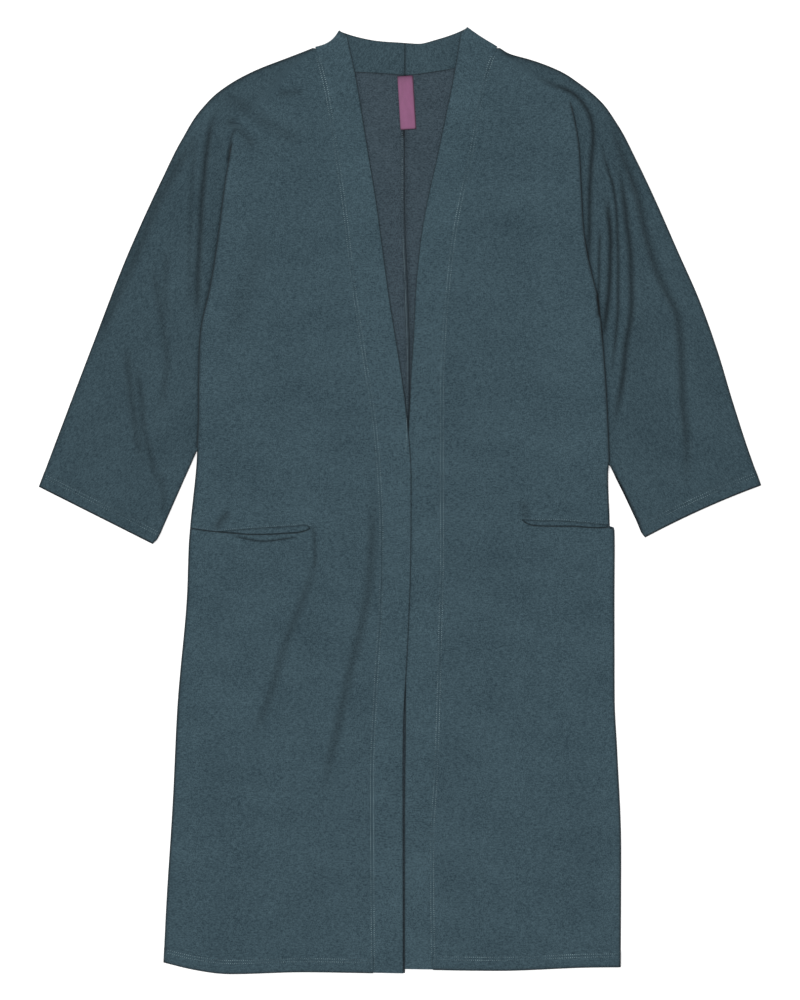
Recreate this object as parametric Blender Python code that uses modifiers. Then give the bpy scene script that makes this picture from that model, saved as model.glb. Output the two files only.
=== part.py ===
"""An open-front knit robe laid flat, face up: kimono sleeves cut in one with the fronts and the backs.

X runs across the robe, Y from hem to neck and Z up from the floor it lies on. Right and left are the
wearer's, so the right half lies at -X, and its band laps over the left one. Tables are in millimetres.
"""

import math

import bpy
import numpy as np
from mathutils import Matrix

MM = 0.001

# Walls of cloth and the room between layers
CLOTH = 1.5
HEM_CLOTH = 2.6
BAND_CLOTH = 2.2
LABEL_CLOTH = 1.0
GAP = 0.3
FRONT_MID = CLOTH + GAP + CLOTH / 2
BAND_MID = CLOTH + GAP + BAND_CLOTH / 2
BACK_BAND_MID = BAND_CLOTH / 2

# Hems are turned up once
HEM_DEPTH = 14.5
HEM_SLOPE = 4.0
FRONT_HEM_DEPTH = HEM_DEPTH + 3.0
FRONT_HEM_RISE = HEM_CLOTH - CLOTH + (HEM_CLOTH - CLOTH) / 2
HEM_Y = -575.0
HEM_DRAWS_FROM = -400.0

# The sleeve hangs from a pleat beside the armhole: its cloth turns under, then back out
TURN_RADIUS = 1.0
TURN_LENGTH = math.pi * TURN_RADIUS
TURN_STEPS = 3
PLEAT_OPENS = 34.0
PLEAT_SHALLOW = 1.0
PLEAT_DEEP = 15.0
PLEAT_GROWS = 220.0
HUMP_FALL = 46.0
UNDERARM_FALL = 52.0
# Above the pleat its columns spread evenly, this many times sooner than the shoulder's top
COLUMNS_SPREAD = 1.6
# The sleeve is pressed flat under the pleat and this far beyond it
PRESSED = 6.0

# A pocket bag lies between front and back
BAG_RISE = CLOTH + GAP
BAG_TOP = 8.0
BAG_DEPTH = 160.0
BAG_CORNER = 24.0
BAG_CORNER_PART = 0.1
BAG_START, BAG_SIDE = -0.01, 0.985
BAG_COLUMNS = 5
BAG_ROWS = (-BAG_TOP, 0, 20, 45, 80, 110, BAG_DEPTH - BAG_CORNER, BAG_DEPTH - 12, BAG_DEPTH - 3, BAG_DEPTH)
LIP_SPREAD = 3.0
LIP_CLOSES = 6.0
RISE_MARGIN = 4.0
RISE_FADE = 22.0
RISE_BEFORE, RISE_ACROSS = 0.125, 0.085

# The right band laps over the left one between these heights
LAP_RISE = BAND_CLOTH + GAP
LAP_TOP, LAP_TOP_FADE = 104.0, 80.0
LAP_FOOT, LAP_FOOT_FADE = -222.0, 42.0
LAP_FROM, LAP_ACROSS = 0.3, 0.42
# The front bands pass over the back one above this height
NECK_RISE = BACK_BAND_MID + BAND_CLOTH + GAP - BAND_MID
NECK_FOOT, NECK_FADE = 524.0, 20.0
# Below this height the band's rows run level; above it they tilt to the shoulder's line
TILT_FOOT = 430.0

# The loop label hangs from the back band's seam
LABEL_WIDTH, LABEL_LENGTH = 18.6, 64.6
LABEL_TOP = (5.9, 517.6)
LABEL_SLANT = math.radians(3.4)
LABEL_BEVEL = 0.3

KNIT = (0.047, 0.082, 0.100, 1.0)
KNIT_BAND = (0.052, 0.086, 0.104, 1.0)
MAGENTA = (0.30, 0.09, 0.21, 1.0)

# Each side's edges as (y, x) rows; the band's seam and front edge, the overarm, the fold beside the armhole
# and the body's side. cuff holds (x, y) of its outer and inner ends, underarm (x, y) down the sleeve's edge.
RIGHT = {
    "name": "right",
    "out": -1,
    "neck": (-102.6, 548.4),
    "neck_hollow": 5.0,
    "cuff_hollow": 0.0,
    "tip": (-72.9, 571.9),
    "seam": [(549, -102.9), (507.9, -91.5), (435.9, -79.3), (351.7, -67.1), (267.5, -57.3), (173.6, -43.3),
             (94.9, -31.2), (24, -25), (-36, -22.6), (-109.4, -23.2), (-243.6, -30.5), (-341, -34.2),
             (-577, -32.9)],
    "edge": [(571.9, -72.9), (566.5, -64.9), (560, -63.4), (522.9, -55.2), (442, -41.6), (366.4, -29.3),
             (244.4, -12.6), (173.6, -1.3), (143.5, 3.4), (96.7, 8.9), (29.6, 13.7), (-60.6, 13.4),
             (-182.6, 9.2), (-255.8, 4.9), (-341, 3.7), (-577, 4.1)],
    "overarm": [(548, -108), (540, -132), (525, -174.5), (500, -218.4), (476, -242.8), (439.6, -266),
                (390.8, -290.4), (305.4, -329.4), (183.4, -377), (61.4, -423.3), (17, -440)],
    "fold": [(440.8, -203.7), (381.6, -213.5), (311.5, -222.7), (256.6, -231.8), (214, -241.5), (153, -245),
             (92, -245.5), (64.4, -247)],
    "side": [(64.4, -247), (49, -247.7), (0, -252.5), (-36, -256.2), (-121.6, -259.9), (-243.6, -270.8),
             (-365.6, -276.9), (-487.6, -284.3), (-577, -288.4)],
    "hem": [(-288.4, -562.8), (-251.8, -571.6), (-206.2, -577), (-117, -574.7), (-56, -575.5),
            (4.1, -576.7)],
    "cuff": [(-440, 17), (-301.3, -52.7)],
    "underarm": [(-248.2, 59.6), (-256.2, 41), (-264.4, 22.7), (-280.6, -13.9), (-292, -40), (-296.2, -48),
                 (-301.3, -52.7)],
    "back_neck": [(6.0, 518.5), (-30.5, 521.3), (-55.6, 522.3), (-78, 529), (-94, 540)],
    "band_top": [(6.0, 557.9), (-34.5, 561.4), (-63.4, 568.5)],
    # Columns across the body from the band to the side; the pocket ends on the one numbered pocket_column
    "columns": (0, 0.14, 0.26, 0.34, 0.373, 0.52, 0.66, 0.79, 0.91, 1),
    "pocket_column": 4,
    "mouth": -32,
    "upper_lip": [(-251.3, -33.4), (-227, -37.2), (-188, -34.9), (-134, -31.6), (-109.6, -32.4)],
    "lower_lip": [(-251.3, -34.0), (-227, -38.4), (-168.8, -42.0), (-124, -39.8), (-109.6, -34.6)],
}
LEFT = {
    "name": "left",
    "out": 1,
    "neck": (117.6, 549.6),
    "neck_hollow": 1.0,
    "cuff_hollow": 3.0,
    "tip": (80.6, 575.6),
    "seam": [(549.7, 117.9), (536, 111), (504, 101.3), (435.9, 89.1), (329.8, 67.1), (238.8, 56.6),
             (134.6, 51.2), (39.4, 51), (-52, 51.2), (-170.4, 48.8), (-329, 43.9), (-426.6, 39),
             (-577, 40.3)],
    "edge": [(575.6, 80.6), (571, 75.2), (563, 73.4), (526, 67.1), (435.9, 48.8), (329.8, 26.8),
             (244.4, 18.3), (201.7, 16.5), (160, 13.7), (113.8, 11.7), (37, 7.3), (-73, 6.5), (-256, 6.5),
             (-400, 5.5), (-577, 5.5)],
    "overarm": [(549.2, 123), (544, 134.9), (537, 159.8), (525, 191.5), (507.9, 219), (488.4, 242.8),
                (457.6, 265.6), (415, 287.9), (366.4, 311), (305.4, 337.9), (244.4, 364.8), (183.4, 386.7),
                (122.4, 405), (61.4, 424.6), (18.7, 440)],
    "fold": [(490.8, 206.2), (439.6, 216.6), (375.5, 220.8), (323.7, 224.2), (277.9, 233), (244.4, 241),
             (207.8, 245.2), (146.8, 250.1), (85.8, 253.2), (46.7, 254.7)],
    "side": [(46.7, 254.7), (30.9, 253.6), (-17.9, 255.4), (-26, 257), (-30, 259.4), (-33, 261.2),
             (-60, 261.6), (-121.6, 261.3), (-243.6, 261.7), (-304.6, 264.7), (-426.6, 269.6), (-577, 269)],
    "hem": [(5.6, -571.4), (119.3, -573), (233, -569), (269, -568.7)],
    "cuff": [(440, 18.7), (298.5, -44.8)],
    "underarm": [(255.6, 43), (258.3, 37.8), (264.3, 24.8), (272.5, 8.5), (288.8, -26.1), (294.4, -40),
                 (298.5, -44.8)],
    "back_neck": [(6.0, 518.5), (24.4, 520.1), (42.5, 522.9), (65.5, 526.4), (90, 534), (108, 543)],
    "band_top": [(6.0, 557.9), (22.8, 556.9), (42.5, 561.4), (74.7, 572.7)],
    "columns": (0, 0.14, 0.28, 0.39, 0.445, 0.4785, 0.6, 0.72, 0.82, 0.91, 1),
    "pocket_column": 5,
    "mouth": -29,
    "upper_lip": [(149.3, -23.4), (163.4, -24.6), (195, -25.2), (245.1, -29.2), (261, -29.8)],
    "lower_lip": [(149.3, -25.4), (163.4, -30.8), (213.5, -32.2), (245.1, -33.8), (261, -31.2)],
}
CENTRE_BACK = [(518.5, 6.1), (449, 5.4), (366, 5.4), (244.4, 9.8), (170, 11.7), (0, 9), (-200, 7), (-577, 6)]

# Rows down the joined front above the underarm, counted from the neck, and down the body below it
ARM_ROWS = 23
BODY_ROWS = (44, 24, 2)
SKIRT_ROWS = (-50, -66, -92, -125, -160, -197, -220, -255, -300, -350, -400, -450, -500, -532)
SLEEVE_ROWS = (0.16, 0.34, 0.56, 0.78, 1)
SLEEVE_COLUMNS = (0.14, 0.28, 0.42, 0.56, 0.7, 0.85, 1)
# Rows of the back's outline: down the overarm from its top, down the side, up the centre, and across the hem
OVERARM_DROPS = (1, 6)
OVERARM_ROWS = range(530, 20, -24)
SIDE_ROWS = (44, 24, 0, -36, -80, -160, -240, -320, -400, -480, -530)
CENTRE_ROWS = (-400, -200, 0, 100, 170, 244, 366, 449)
HEM_PARTS = (1, 0.8, 0.6, 0.4, 0.2, 0)
# Rows of the band behind the neck, as shares of its half, and the turns of its roll over the shoulder
NECK_PARTS = (0, 0.2, 0.4, 0.6, 0.8)
SHOULDER_TURNS = (-90, -45, 0, 45, 90)
# Columns across the band and how thick its cloth is at each
BAND_COLUMNS = (0, 0.1, 0.42, 0.73, 0.94, 1)
BAND_THICK = (0.7, 1, 1, 1, 1, 0.45)

# Soft folds: which half, how high (mm), how wide (mm) and their points (x, y)
FOLDS = [
    ("right", 2.6, 13, [(-262, 420), (-276, 340), (-282, 250), (-300, 150), (-306, 60), (-296, -10)]),
    ("right", 2.0, 13, [(-312, 330), (-342, 240), (-352, 140), (-356, 50)]),
    ("right", 1.8, 15, [(-240, 492), (-200, 478), (-150, 448)]),
    ("left", 2.4, 13, [(262, 428), (272, 350), (294, 250), (300, 150), (296, 60), (286, -5)]),
    ("left", 2.0, 13, [(292, 390), (322, 300), (350, 200), (366, 100), (372, 20)]),
    ("left", 2.0, 14, [(166, 503), (205, 483), (226, 456)]),
]


def smooth(value):
    value = np.clip(value, 0.0, 1.0)
    return value * value * (3 - 2 * value)


def follow(table, at):
    """The second column of a table at a value of its first one, as a smooth curve through the rows."""
    rows = np.array(sorted(table), float)
    keys, values = rows[:, 0], rows[:, 1]
    slopes = np.gradient(values, keys)
    secants = np.diff(values) / np.diff(keys)
    before, after = np.append(secants[:1], secants), np.append(secants, secants[-1:])
    limit = 3 * np.minimum(abs(before), abs(after))
    slopes = np.where(before * after > 0, np.clip(slopes, -limit, limit), 0)
    at = np.clip(at, keys[0], keys[-1])
    i = np.clip(np.searchsorted(keys, at) - 1, 0, len(keys) - 2)
    span = keys[i + 1] - keys[i]
    t = (at - keys[i]) / span
    return (
        values[i] * (1 + 2 * t) * (1 - t) ** 2
        + slopes[i] * span * t * (1 - t) ** 2
        + values[i + 1] * t * t * (3 - 2 * t)
        + slopes[i + 1] * span * t * t * (t - 1)
    )


def at_length(points, distance):
    """The point this far along a line of points; a negative distance is counted from its end."""
    points = np.array(points, float)
    lengths = np.concatenate([[0], np.cumsum(np.hypot(*np.diff(points, axis=0).T))])
    if distance < 0:
        distance += lengths[-1]
    return np.array([np.interp(distance, lengths, points[:, i]) for i in (0, 1)])


def length_of(points):
    return float(np.hypot(*np.diff(np.array(points, float), axis=0).T).sum())


def fold_height(side, x, y):
    """The height that the soft folds add at a place."""
    height = 0.0
    for half, high, wide, points in FOLDS:
        if half == side["name"]:
            nearest = min(segment_distance((x, y), *ends) for ends in zip(points, points[1:]))
            height += high * (1 - smooth(nearest / wide))
    return height


def segment_distance(place, start, end):
    place, start, end = (np.array(point, float) for point in (place, start, end))
    along = end - start
    t = np.clip(np.dot(place - start, along) / np.dot(along, along), 0, 1)
    return float(np.hypot(*(place - start - t * along)))


def underarm_y(side):
    return min(side["fold"])[0]


def pleat_at(side, y):
    """How far the cloth has turned in the pleat at this height (radians), and the turned layer's depth."""
    below = max(side["fold"])[0] - y
    angle = math.pi * smooth(below / PLEAT_OPENS)
    depth = PLEAT_SHALLOW + (PLEAT_DEEP - PLEAT_SHALLOW) * smooth(below / PLEAT_GROWS)
    return float(angle), float(depth)


def pleat_turns(angle, depth):
    """The pleat's cross-section from the top layer's last point, as (outward, down) steps from there."""
    steps = []
    heading, turn = 0.0, angle / TURN_STEPS
    chord = TURN_LENGTH / TURN_STEPS
    if turn > 1e-6:
        chord *= math.sin(turn / 2) / (turn / 2)
    for turned in range(2):
        for _ in range(TURN_STEPS):
            middle = heading + (turn / 2 if turned == 0 else -turn / 2)
            steps.append((chord * math.cos(middle), chord * math.sin(middle)))
            heading += turn if turned == 0 else -turn
        if turned == 0:
            steps.append((depth * math.cos(angle), depth * math.sin(angle)))
    return np.array(steps)


def pleat_hump(drop, depth, inward):
    """How far the body is lifted beside the pleat, at a distance inward from the pleat's edge."""
    return drop * (1 - smooth((inward - depth - 4 * TURN_RADIUS) / HUMP_FALL))


def arm_row(side, y):
    """One row of the front above the underarm, from the band's seam to the overarm."""
    out, columns = side["out"], side["columns"]
    start = follow(side["seam"], y) + out * GAP
    end = follow(side["overarm"], y)
    angle, depth = pleat_at(side, y)
    steps = pleat_turns(angle, depth)
    top = max(side["fold"])[0]
    if y <= top:
        fold = follow(side["fold"], y)
        loose = 0.0
    else:
        first = follow(side["seam"], top), follow(side["fold"], top), follow(side["overarm"], top)
        fold = start + (end - start) * (first[1] - first[0]) / (first[2] - first[0])
        loose = float(smooth((y - top) / (side["overarm"][0][0] - top) * COLUMNS_SPREAD))
    radius = TURN_LENGTH / max(angle, 1e-3)
    reach = min(TURN_LENGTH, radius * math.sin(min(angle, math.pi / 2)))
    lip = fold - out * reach
    drop = steps[:, 1].sum()
    points = []
    for part in columns:
        x = start + (lip - start) * part
        points.append((x, pleat_hump(drop, depth, abs(lip - x)), 0.0))
    x, rise = lip, drop
    for outward, down in steps:
        x, rise = x + out * outward, rise - down
        points.append((x, rise, 1.0))
    inner = x
    for part in SLEEVE_COLUMNS:
        points.append((inner + (end - inner) * part, 0.0, 0.0))
    last = len(points) - 1
    row = []
    for i, (x, rise, pleat) in enumerate(points):
        x += loose * (start + (end - start) * i / last - x)
        soft = 0.0 if pleat and angle > 0 else fold_height(side, x, y)
        hidden = angle > math.pi / 2 and i > len(columns) and out * (fold + out * PRESSED - x) > 0
        row.append((x, y, FRONT_MID + rise + (0.0 if hidden else soft)))
    return row


def bag_rise(side, part, y):
    """How far the front is lifted where the pocket bag lies under it."""
    mouth = side["mouth"]
    tip = side["columns"][side["pocket_column"]]
    across = smooth((part - tip + RISE_BEFORE) / RISE_ACROSS)
    above = smooth((mouth + BAG_TOP + RISE_MARGIN + RISE_FADE - y) / RISE_FADE)
    below = smooth((y - (mouth - BAG_DEPTH - RISE_MARGIN - RISE_FADE)) / RISE_FADE)
    return BAG_RISE * float(across * above * below)


def hem_drawn(side, x, y):
    """A place low on the body, moved so that the lowest row follows the hem's line."""
    down = smooth((HEM_DRAWS_FROM - y) / (HEM_DRAWS_FROM - HEM_Y))
    return x, y + down * (follow(side["hem"], x) - HEM_Y)


def body_point(side, part, y):
    """A place on the body below the underarm, part of the way from the band's seam to the side."""
    start = follow(side["seam"], y) + side["out"] * GAP
    return hem_drawn(side, start + (follow(side["side"], y) - start) * part, y)


def front_body_row(side, y):
    row = []
    fade = 1 - smooth((underarm_y(side) - y) / UNDERARM_FALL)
    angle, depth = pleat_at(side, underarm_y(side))
    drop = pleat_turns(angle, depth)[:, 1].sum()
    width = abs(follow(side["side"], y) - follow(side["seam"], y))
    for part in side["columns"]:
        hump = fade * pleat_hump(drop, depth, (1 - part) * width)
        x, at = body_point(side, part, y)
        row.append((x, at, FRONT_MID + hump + bag_rise(side, part, y)))
    return row


def lip_row(side, lip, spread):
    """A row along one lip of the pocket mouth, which closes beside the column where the mouth ends."""
    tip = side["columns"][side["pocket_column"]]
    end = tip_height(side, lip)
    row = []
    for part in side["columns"]:
        x, _ = body_point(side, part, end)
        y = follow(side[lip], x) if part >= tip else end + spread * smooth((tip - part) * LIP_CLOSES)
        row.append((x, y, FRONT_MID + bag_rise(side, part, y)))
    return row


def hem_rows(side, row_of):
    """The last rows of the body: the turned hem's slope, its stitched line and its edge."""
    rows = []
    for inset, raised in ((FRONT_HEM_DEPTH + HEM_SLOPE, 0), (FRONT_HEM_DEPTH, 1), (0, 1)):
        rows.append([(x, y, z + FRONT_HEM_RISE * raised) for x, y, z in row_of(side, HEM_Y + inset)])
    return rows


def sleeve_row(inner, outer, level, hollow=0.0):
    row = []
    for part in (0, *SLEEVE_COLUMNS):
        x, y = inner + (outer - inner) * part
        row.append((x, y + hollow * 4 * part * (1 - part), level))
    return row


def sleeve_rows(side, inner_start, outer_start, level, raised, depth):
    """Rows of the sleeve below the underarm, turning from level ones to the cuff's slant."""
    inner_line = [inner_start, *side["underarm"]]
    outer_line = [outer_start, side["cuff"][0]]
    inner_length, outer_length = length_of(inner_line), length_of(outer_line)
    slope = depth + HEM_SLOPE
    rows = []
    for part in SLEEVE_ROWS:
        inner = at_length(inner_line, (inner_length - slope) * part)
        outer = at_length(outer_line, (outer_length - slope) * part)
        rows.append(sleeve_row(inner, outer, level))
    for inset in (depth, 0):
        inner = at_length(inner_line, inner_length - inset)
        outer = at_length(outer_line, outer_length - inset)
        rows.append(sleeve_row(inner, outer, level + raised, side["cuff_hollow"]))
    return rows


class Sheet:
    """An open surface built row by row, with a thickness at each point."""

    def __init__(self):
        self.points, self.thick, self.faces = [], [], []

    def row(self, points, thick):
        first = len(self.points)
        self.points.extend(tuple(c * MM for c in point) for point in points)
        self.thick.extend(thick if isinstance(thick, (list, tuple)) else [thick] * len(points))
        return list(range(first, first + len(points)))

    def join(self, upper, lower, skip_from=None):
        last = len(upper) - 1 if skip_from is None else skip_from
        for i in range(last):
            self.faces.append((upper[i], lower[i], lower[i + 1], upper[i + 1]))


def arm_heights(side):
    top, foot = side["overarm"][0][0], underarm_y(side)
    return [top - (top - foot) * (i / ARM_ROWS) ** 1.12 for i in range(ARM_ROWS + 1)]


def above_mouth(side):
    return side["mouth"] + BAG_TOP + RISE_MARGIN


def tip_height(side, lip):
    """The height at which a lip of the pocket mouth reaches the mouth's inner end."""
    return min(side[lip], key=lambda row: abs(row[0]))[1]


def seam_heights(side):
    """The heights of the front's rows where they meet the band, so that both follow one line there."""
    lips = [tip_height(side, "upper_lip") + LIP_SPREAD, tip_height(side, "lower_lip") - LIP_SPREAD]
    hems = [HEM_Y + FRONT_HEM_DEPTH + HEM_SLOPE, HEM_Y + FRONT_HEM_DEPTH, HEM_Y]
    return [*arm_heights(side), *BODY_ROWS, above_mouth(side), *lips, *SKIRT_ROWS, *hems]


def front_sheet(side):
    sheet = Sheet()
    columns = len(side["columns"])
    arm = [sheet.row(arm_row(side, y), CLOTH) for y in arm_heights(side)]
    for upper, lower in zip(arm, arm[1:]):
        sheet.join(upper, lower)
    last = arm[-1]

    body = [last[:columns]]
    body += [sheet.row(front_body_row(side, y), CLOTH) for y in BODY_ROWS]
    body.append(sheet.row(front_body_row(side, above_mouth(side)), CLOTH))
    body.append(sheet.row(lip_row(side, "upper_lip", LIP_SPREAD), CLOTH))
    mouth = len(body) - 1
    body.append(sheet.row(lip_row(side, "lower_lip", -LIP_SPREAD), CLOTH))
    body += [sheet.row(front_body_row(side, y), CLOTH) for y in SKIRT_ROWS]
    for row, thick in zip(hem_rows(side, front_body_row), (CLOTH, HEM_CLOTH, HEM_CLOTH)):
        body.append(sheet.row(row, thick))
    for i, (upper, lower) in enumerate(zip(body, body[1:])):
        sheet.join(upper, lower, side["pocket_column"] if i == mouth else None)

    inner = sheet.points[last[-len(SLEEVE_COLUMNS) - 1]]
    outer = sheet.points[last[-1]]
    start = [np.array(point[:2]) / MM for point in (inner, outer)]
    sleeve = [last[-len(SLEEVE_COLUMNS) - 1:]]
    rows = sleeve_rows(side, start[0], start[1], FRONT_MID, FRONT_HEM_RISE, FRONT_HEM_DEPTH)
    for i, row in enumerate(rows):
        lifted = [(x, y, z + fold_height(side, x, y)) for x, y, z in row]
        sleeve.append(sheet.row(lifted, HEM_CLOTH if i >= len(rows) - 2 else CLOTH))
    for upper, lower in zip(sleeve, sleeve[1:]):
        sheet.join(upper, lower)
    return sheet


def back_sheet(side):
    """The back's underside, flat on the floor, as one outline with strips for its hem and its cuff."""
    out = side["out"]
    sheet = Sheet()
    neck = [(x, y - GAP, 0) for x, y in side["back_neck"][1:]]
    top = side["overarm"][0][0]
    heights = [*(top - drop for drop in OVERARM_DROPS), *OVERARM_ROWS]
    arm = [(follow(side["overarm"], y), y, 0) for y in heights if y > underarm_y(side)]
    underarm = (follow(side["fold"], underarm_y(side)) + out * 0.4, underarm_y(side) - 1, 0)
    rows = sleeve_rows(side, np.array(underarm[:2]), np.array(arm[-1][:2]), 0, 0, HEM_DEPTH)
    cuff = rows[-3:]
    sides = [(*body_point(side, 1, y), 0) for y in SIDE_ROWS]

    def hem_row(inset):
        y = HEM_Y + inset
        row = []
        centre = follow(CENTRE_BACK, y) + out * GAP / 2
        for part in HEM_PARTS:
            x = centre + (follow(side["side"], y) - centre) * part
            row.append((*hem_drawn(side, x, y), 0))
        return row

    centre = [(follow(CENTRE_BACK, y) + out * GAP / 2, y, 0) for y in CENTRE_ROWS]
    first = (follow(CENTRE_BACK, 518) + out * GAP / 2, 518.2, 0)
    upper = [first, *neck, *arm]
    inner_side = [tuple(row[0]) for row in reversed(rows[:-3])]
    main = sheet.row(upper, CLOTH)
    slope_cuff = sheet.row(cuff[0][::-1], CLOTH)
    main += slope_cuff + sheet.row([*inner_side, underarm, *sides], CLOTH)
    slope_hem = sheet.row(hem_row(HEM_DEPTH + HEM_SLOPE), CLOTH)
    main += slope_hem + sheet.row(centre, CLOTH)
    sheet.faces.append(tuple(main))
    for first_row, later in ((slope_cuff, [row[::-1] for row in cuff[1:]]),
                             (slope_hem, [hem_row(HEM_DEPTH), hem_row(0)])):
        for row in later:
            made = sheet.row(row, HEM_CLOTH)
            sheet.join(first_row, made)
            first_row = made
    return sheet


def lap_rise(side, part, y):
    if side["out"] > 0:
        return 0.0
    over = smooth((LAP_TOP + LAP_TOP_FADE - y) / LAP_TOP_FADE)
    under = smooth((y - LAP_FOOT + LAP_FOOT_FADE) / LAP_FOOT_FADE)
    return LAP_RISE * float(over * under * smooth((part - LAP_FROM) / LAP_ACROSS))


def band_row(seam, edge, level, hollow=(0.0, 0.0)):
    """A row across the band between a point of its seam and one of its front edge, hollowed between them."""
    seam, edge, hollow = (np.array(point, float) for point in (seam, edge, hollow))
    row = []
    for part in BAND_COLUMNS:
        x, y = seam + (edge - seam) * part + hollow * 4 * part * (1 - part)
        row.append((x, y, level(part, y)))
    return row


def band_sheet(side):
    out = side["out"]
    sheet = Sheet()
    rows = []
    join = np.array((out * GAP / 2, 0.0))
    seam_line = [np.array(point) for point in [*side["back_neck"], side["neck"]]]
    top_line = [np.array(point) for point in [*side["band_top"], side["tip"]]]
    seam_line[0], top_line[0] = seam_line[0] + join, top_line[0] + join
    for part in NECK_PARTS:
        seam = at_length(seam_line, length_of(seam_line) * part)
        edge = at_length(top_line, length_of(top_line) * part)
        rows.append(band_row(seam, edge, lambda _part, _y: BACK_BAND_MID))

    # Over the shoulder it turns back on itself along the line from the neck point to the tip
    neck, tip = np.array(side["neck"]), np.array(side["tip"])
    across = (tip - neck) / np.hypot(*(tip - neck))
    away = np.array((out * abs(across[1]), abs(across[0])))
    hollow = -away * side["neck_hollow"]
    radius = (BAND_CLOTH + GAP) / 2
    for turn in SHOULDER_TURNS:
        shift = away * radius * math.cos(math.radians(turn))
        height = BACK_BAND_MID + radius + radius * math.sin(math.radians(turn))
        rows.append(band_row(neck + shift, tip + shift, lambda _part, _y: height, hollow))

    tilt = tip[1] - neck[1]
    for y in seam_heights(side)[1:]:
        lift = tilt * float(smooth((y - TILT_FOOT) / (neck[1] - TILT_FOOT)))
        seam = (follow(side["seam"], y), y)
        edge = (follow(side["edge"], y + lift), y + lift)
        hem = 0.0
        seam, edge = (hem_drawn(side, *point) for point in (seam, edge))
        if y <= HEM_Y + FRONT_HEM_DEPTH:
            hem = HEM_CLOTH - CLOTH

        def level(part, at):
            neck_rise = NECK_RISE * float(smooth((at - NECK_FOOT + NECK_FADE) / NECK_FADE))
            return BAND_MID + neck_rise + hem + lap_rise(side, part, at)

        rows.append(band_row(seam, edge, level))
    thick = [BAND_CLOTH * share for share in BAND_THICK]
    made = [sheet.row(row, thick) for row in rows]
    for upper, lower in zip(made, made[1:]):
        sheet.join(upper, lower)
    return sheet


def bag_sheet(side):
    sheet = Sheet()
    tip = side["columns"][side["pocket_column"]]
    mouth = side["mouth"]
    rows = []
    for depth in BAG_ROWS:
        into_corner = max(0.0, depth - (BAG_DEPTH - BAG_CORNER)) / BAG_CORNER
        inset = BAG_CORNER_PART * (1 - math.sqrt(1 - min(1.0, into_corner) ** 2))
        start = tip + BAG_START + inset
        row = []
        for part in np.linspace(start, BAG_SIDE, BAG_COLUMNS):
            x, y = body_point(side, part, mouth - depth)
            row.append((x, y, FRONT_MID))
        rows.append(sheet.row(row, CLOTH))
    for upper, lower in zip(rows, rows[1:]):
        sheet.join(upper, lower)
    return sheet


def knit_material(name, colour):
    material = bpy.data.materials.new(name)
    material.use_nodes = True
    shader = material.node_tree.nodes["Principled BSDF"]
    shader.inputs["Base Color"].default_value = colour
    shader.inputs["Roughness"].default_value = 0.9
    shader.inputs["Metallic"].default_value = 0.0
    return material


def sheet_object(name, sheet, collection, colour, offset=0.0):
    """Makes the open surface an object, and gives its wall with a Solidify modifier."""
    mesh = bpy.data.meshes.new(name)
    mesh.from_pydata(sheet.points, [], sheet.faces)
    mesh.update()
    if sum(face.normal.z * face.area for face in mesh.polygons) < 0:
        mesh.flip_normals()
    mesh.shade_smooth()
    obj = bpy.data.objects.new(name, mesh)
    collection.objects.link(obj)
    thickest = max(sheet.thick)
    group = obj.vertex_groups.new(name="thickness")
    for value in sorted(set(sheet.thick)):
        group.add([i for i, thick in enumerate(sheet.thick) if thick == value], value / thickest, "REPLACE")
    wall = obj.modifiers.new("wall", "SOLIDIFY")
    wall.thickness = thickest * MM
    wall.offset = offset
    wall.use_even_offset = True
    wall.vertex_group = group.name
    mesh.materials.append(knit_material(name, colour))
    return obj


def label_object(collection):
    """A loop of ribbon hanging from the back band's seam, a little aslant."""
    half = LABEL_LENGTH / 2
    centre = (LABEL_TOP[0] + math.sin(LABEL_SLANT) * half, LABEL_TOP[1] - math.cos(LABEL_SLANT) * half)
    height = CLOTH + GAP + LABEL_CLOTH / 2
    bpy.ops.mesh.primitive_cube_add(
        size=1, location=(centre[0] * MM, centre[1] * MM, height * MM), rotation=(0, 0, LABEL_SLANT)
    )
    label = bpy.context.object
    label.name = label.data.name = "label"
    label.data.transform(Matrix.Diagonal((LABEL_WIDTH * MM, LABEL_LENGTH * MM, LABEL_CLOTH * MM, 1)))
    edges = label.modifiers.new("soft edges", "BEVEL")
    edges.width = LABEL_BEVEL * MM
    edges.segments = 1
    label.data.materials.append(knit_material("label", MAGENTA))
    for owner in list(label.users_collection):
        owner.objects.unlink(label)
    collection.objects.link(label)


def main():
    for obj in list(bpy.data.objects):
        bpy.data.objects.remove(obj, do_unlink=True)
    robe = bpy.data.collections.new("robe")
    bpy.context.scene.collection.children.link(robe)
    for side in (RIGHT, LEFT):
        name = side["name"]
        sheet_object(f"back_and_sleeve_{name}", back_sheet(side), robe, KNIT, offset=1.0)
        sheet_object(f"front_and_sleeve_{name}", front_sheet(side), robe, KNIT)
        sheet_object(f"neck_band_{name}", band_sheet(side), robe, KNIT_BAND)
        sheet_object(f"pocket_bag_{name}", bag_sheet(side), robe, KNIT)
    label_object(robe)


main()
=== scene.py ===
# %% [markdown]
# # An open-front knit robe, laid flat
#
# The robe lies face up on a pale table. Its fronts and backs are cut in one with wide kimono sleeves, a
# double band runs up each front and round the back neck, and two slit pockets open from the side seams.
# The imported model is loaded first, as a frame that never moves: every piece made here lies where its solid
# lies. All sizes are in millimetres until a mesh is made. Right and left are the wearer's, so the right
# half lies at -X.

# %% The frame
import math

import bpy
import numpy as np
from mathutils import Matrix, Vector
from mathutils.bvhtree import BVHTree


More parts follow.
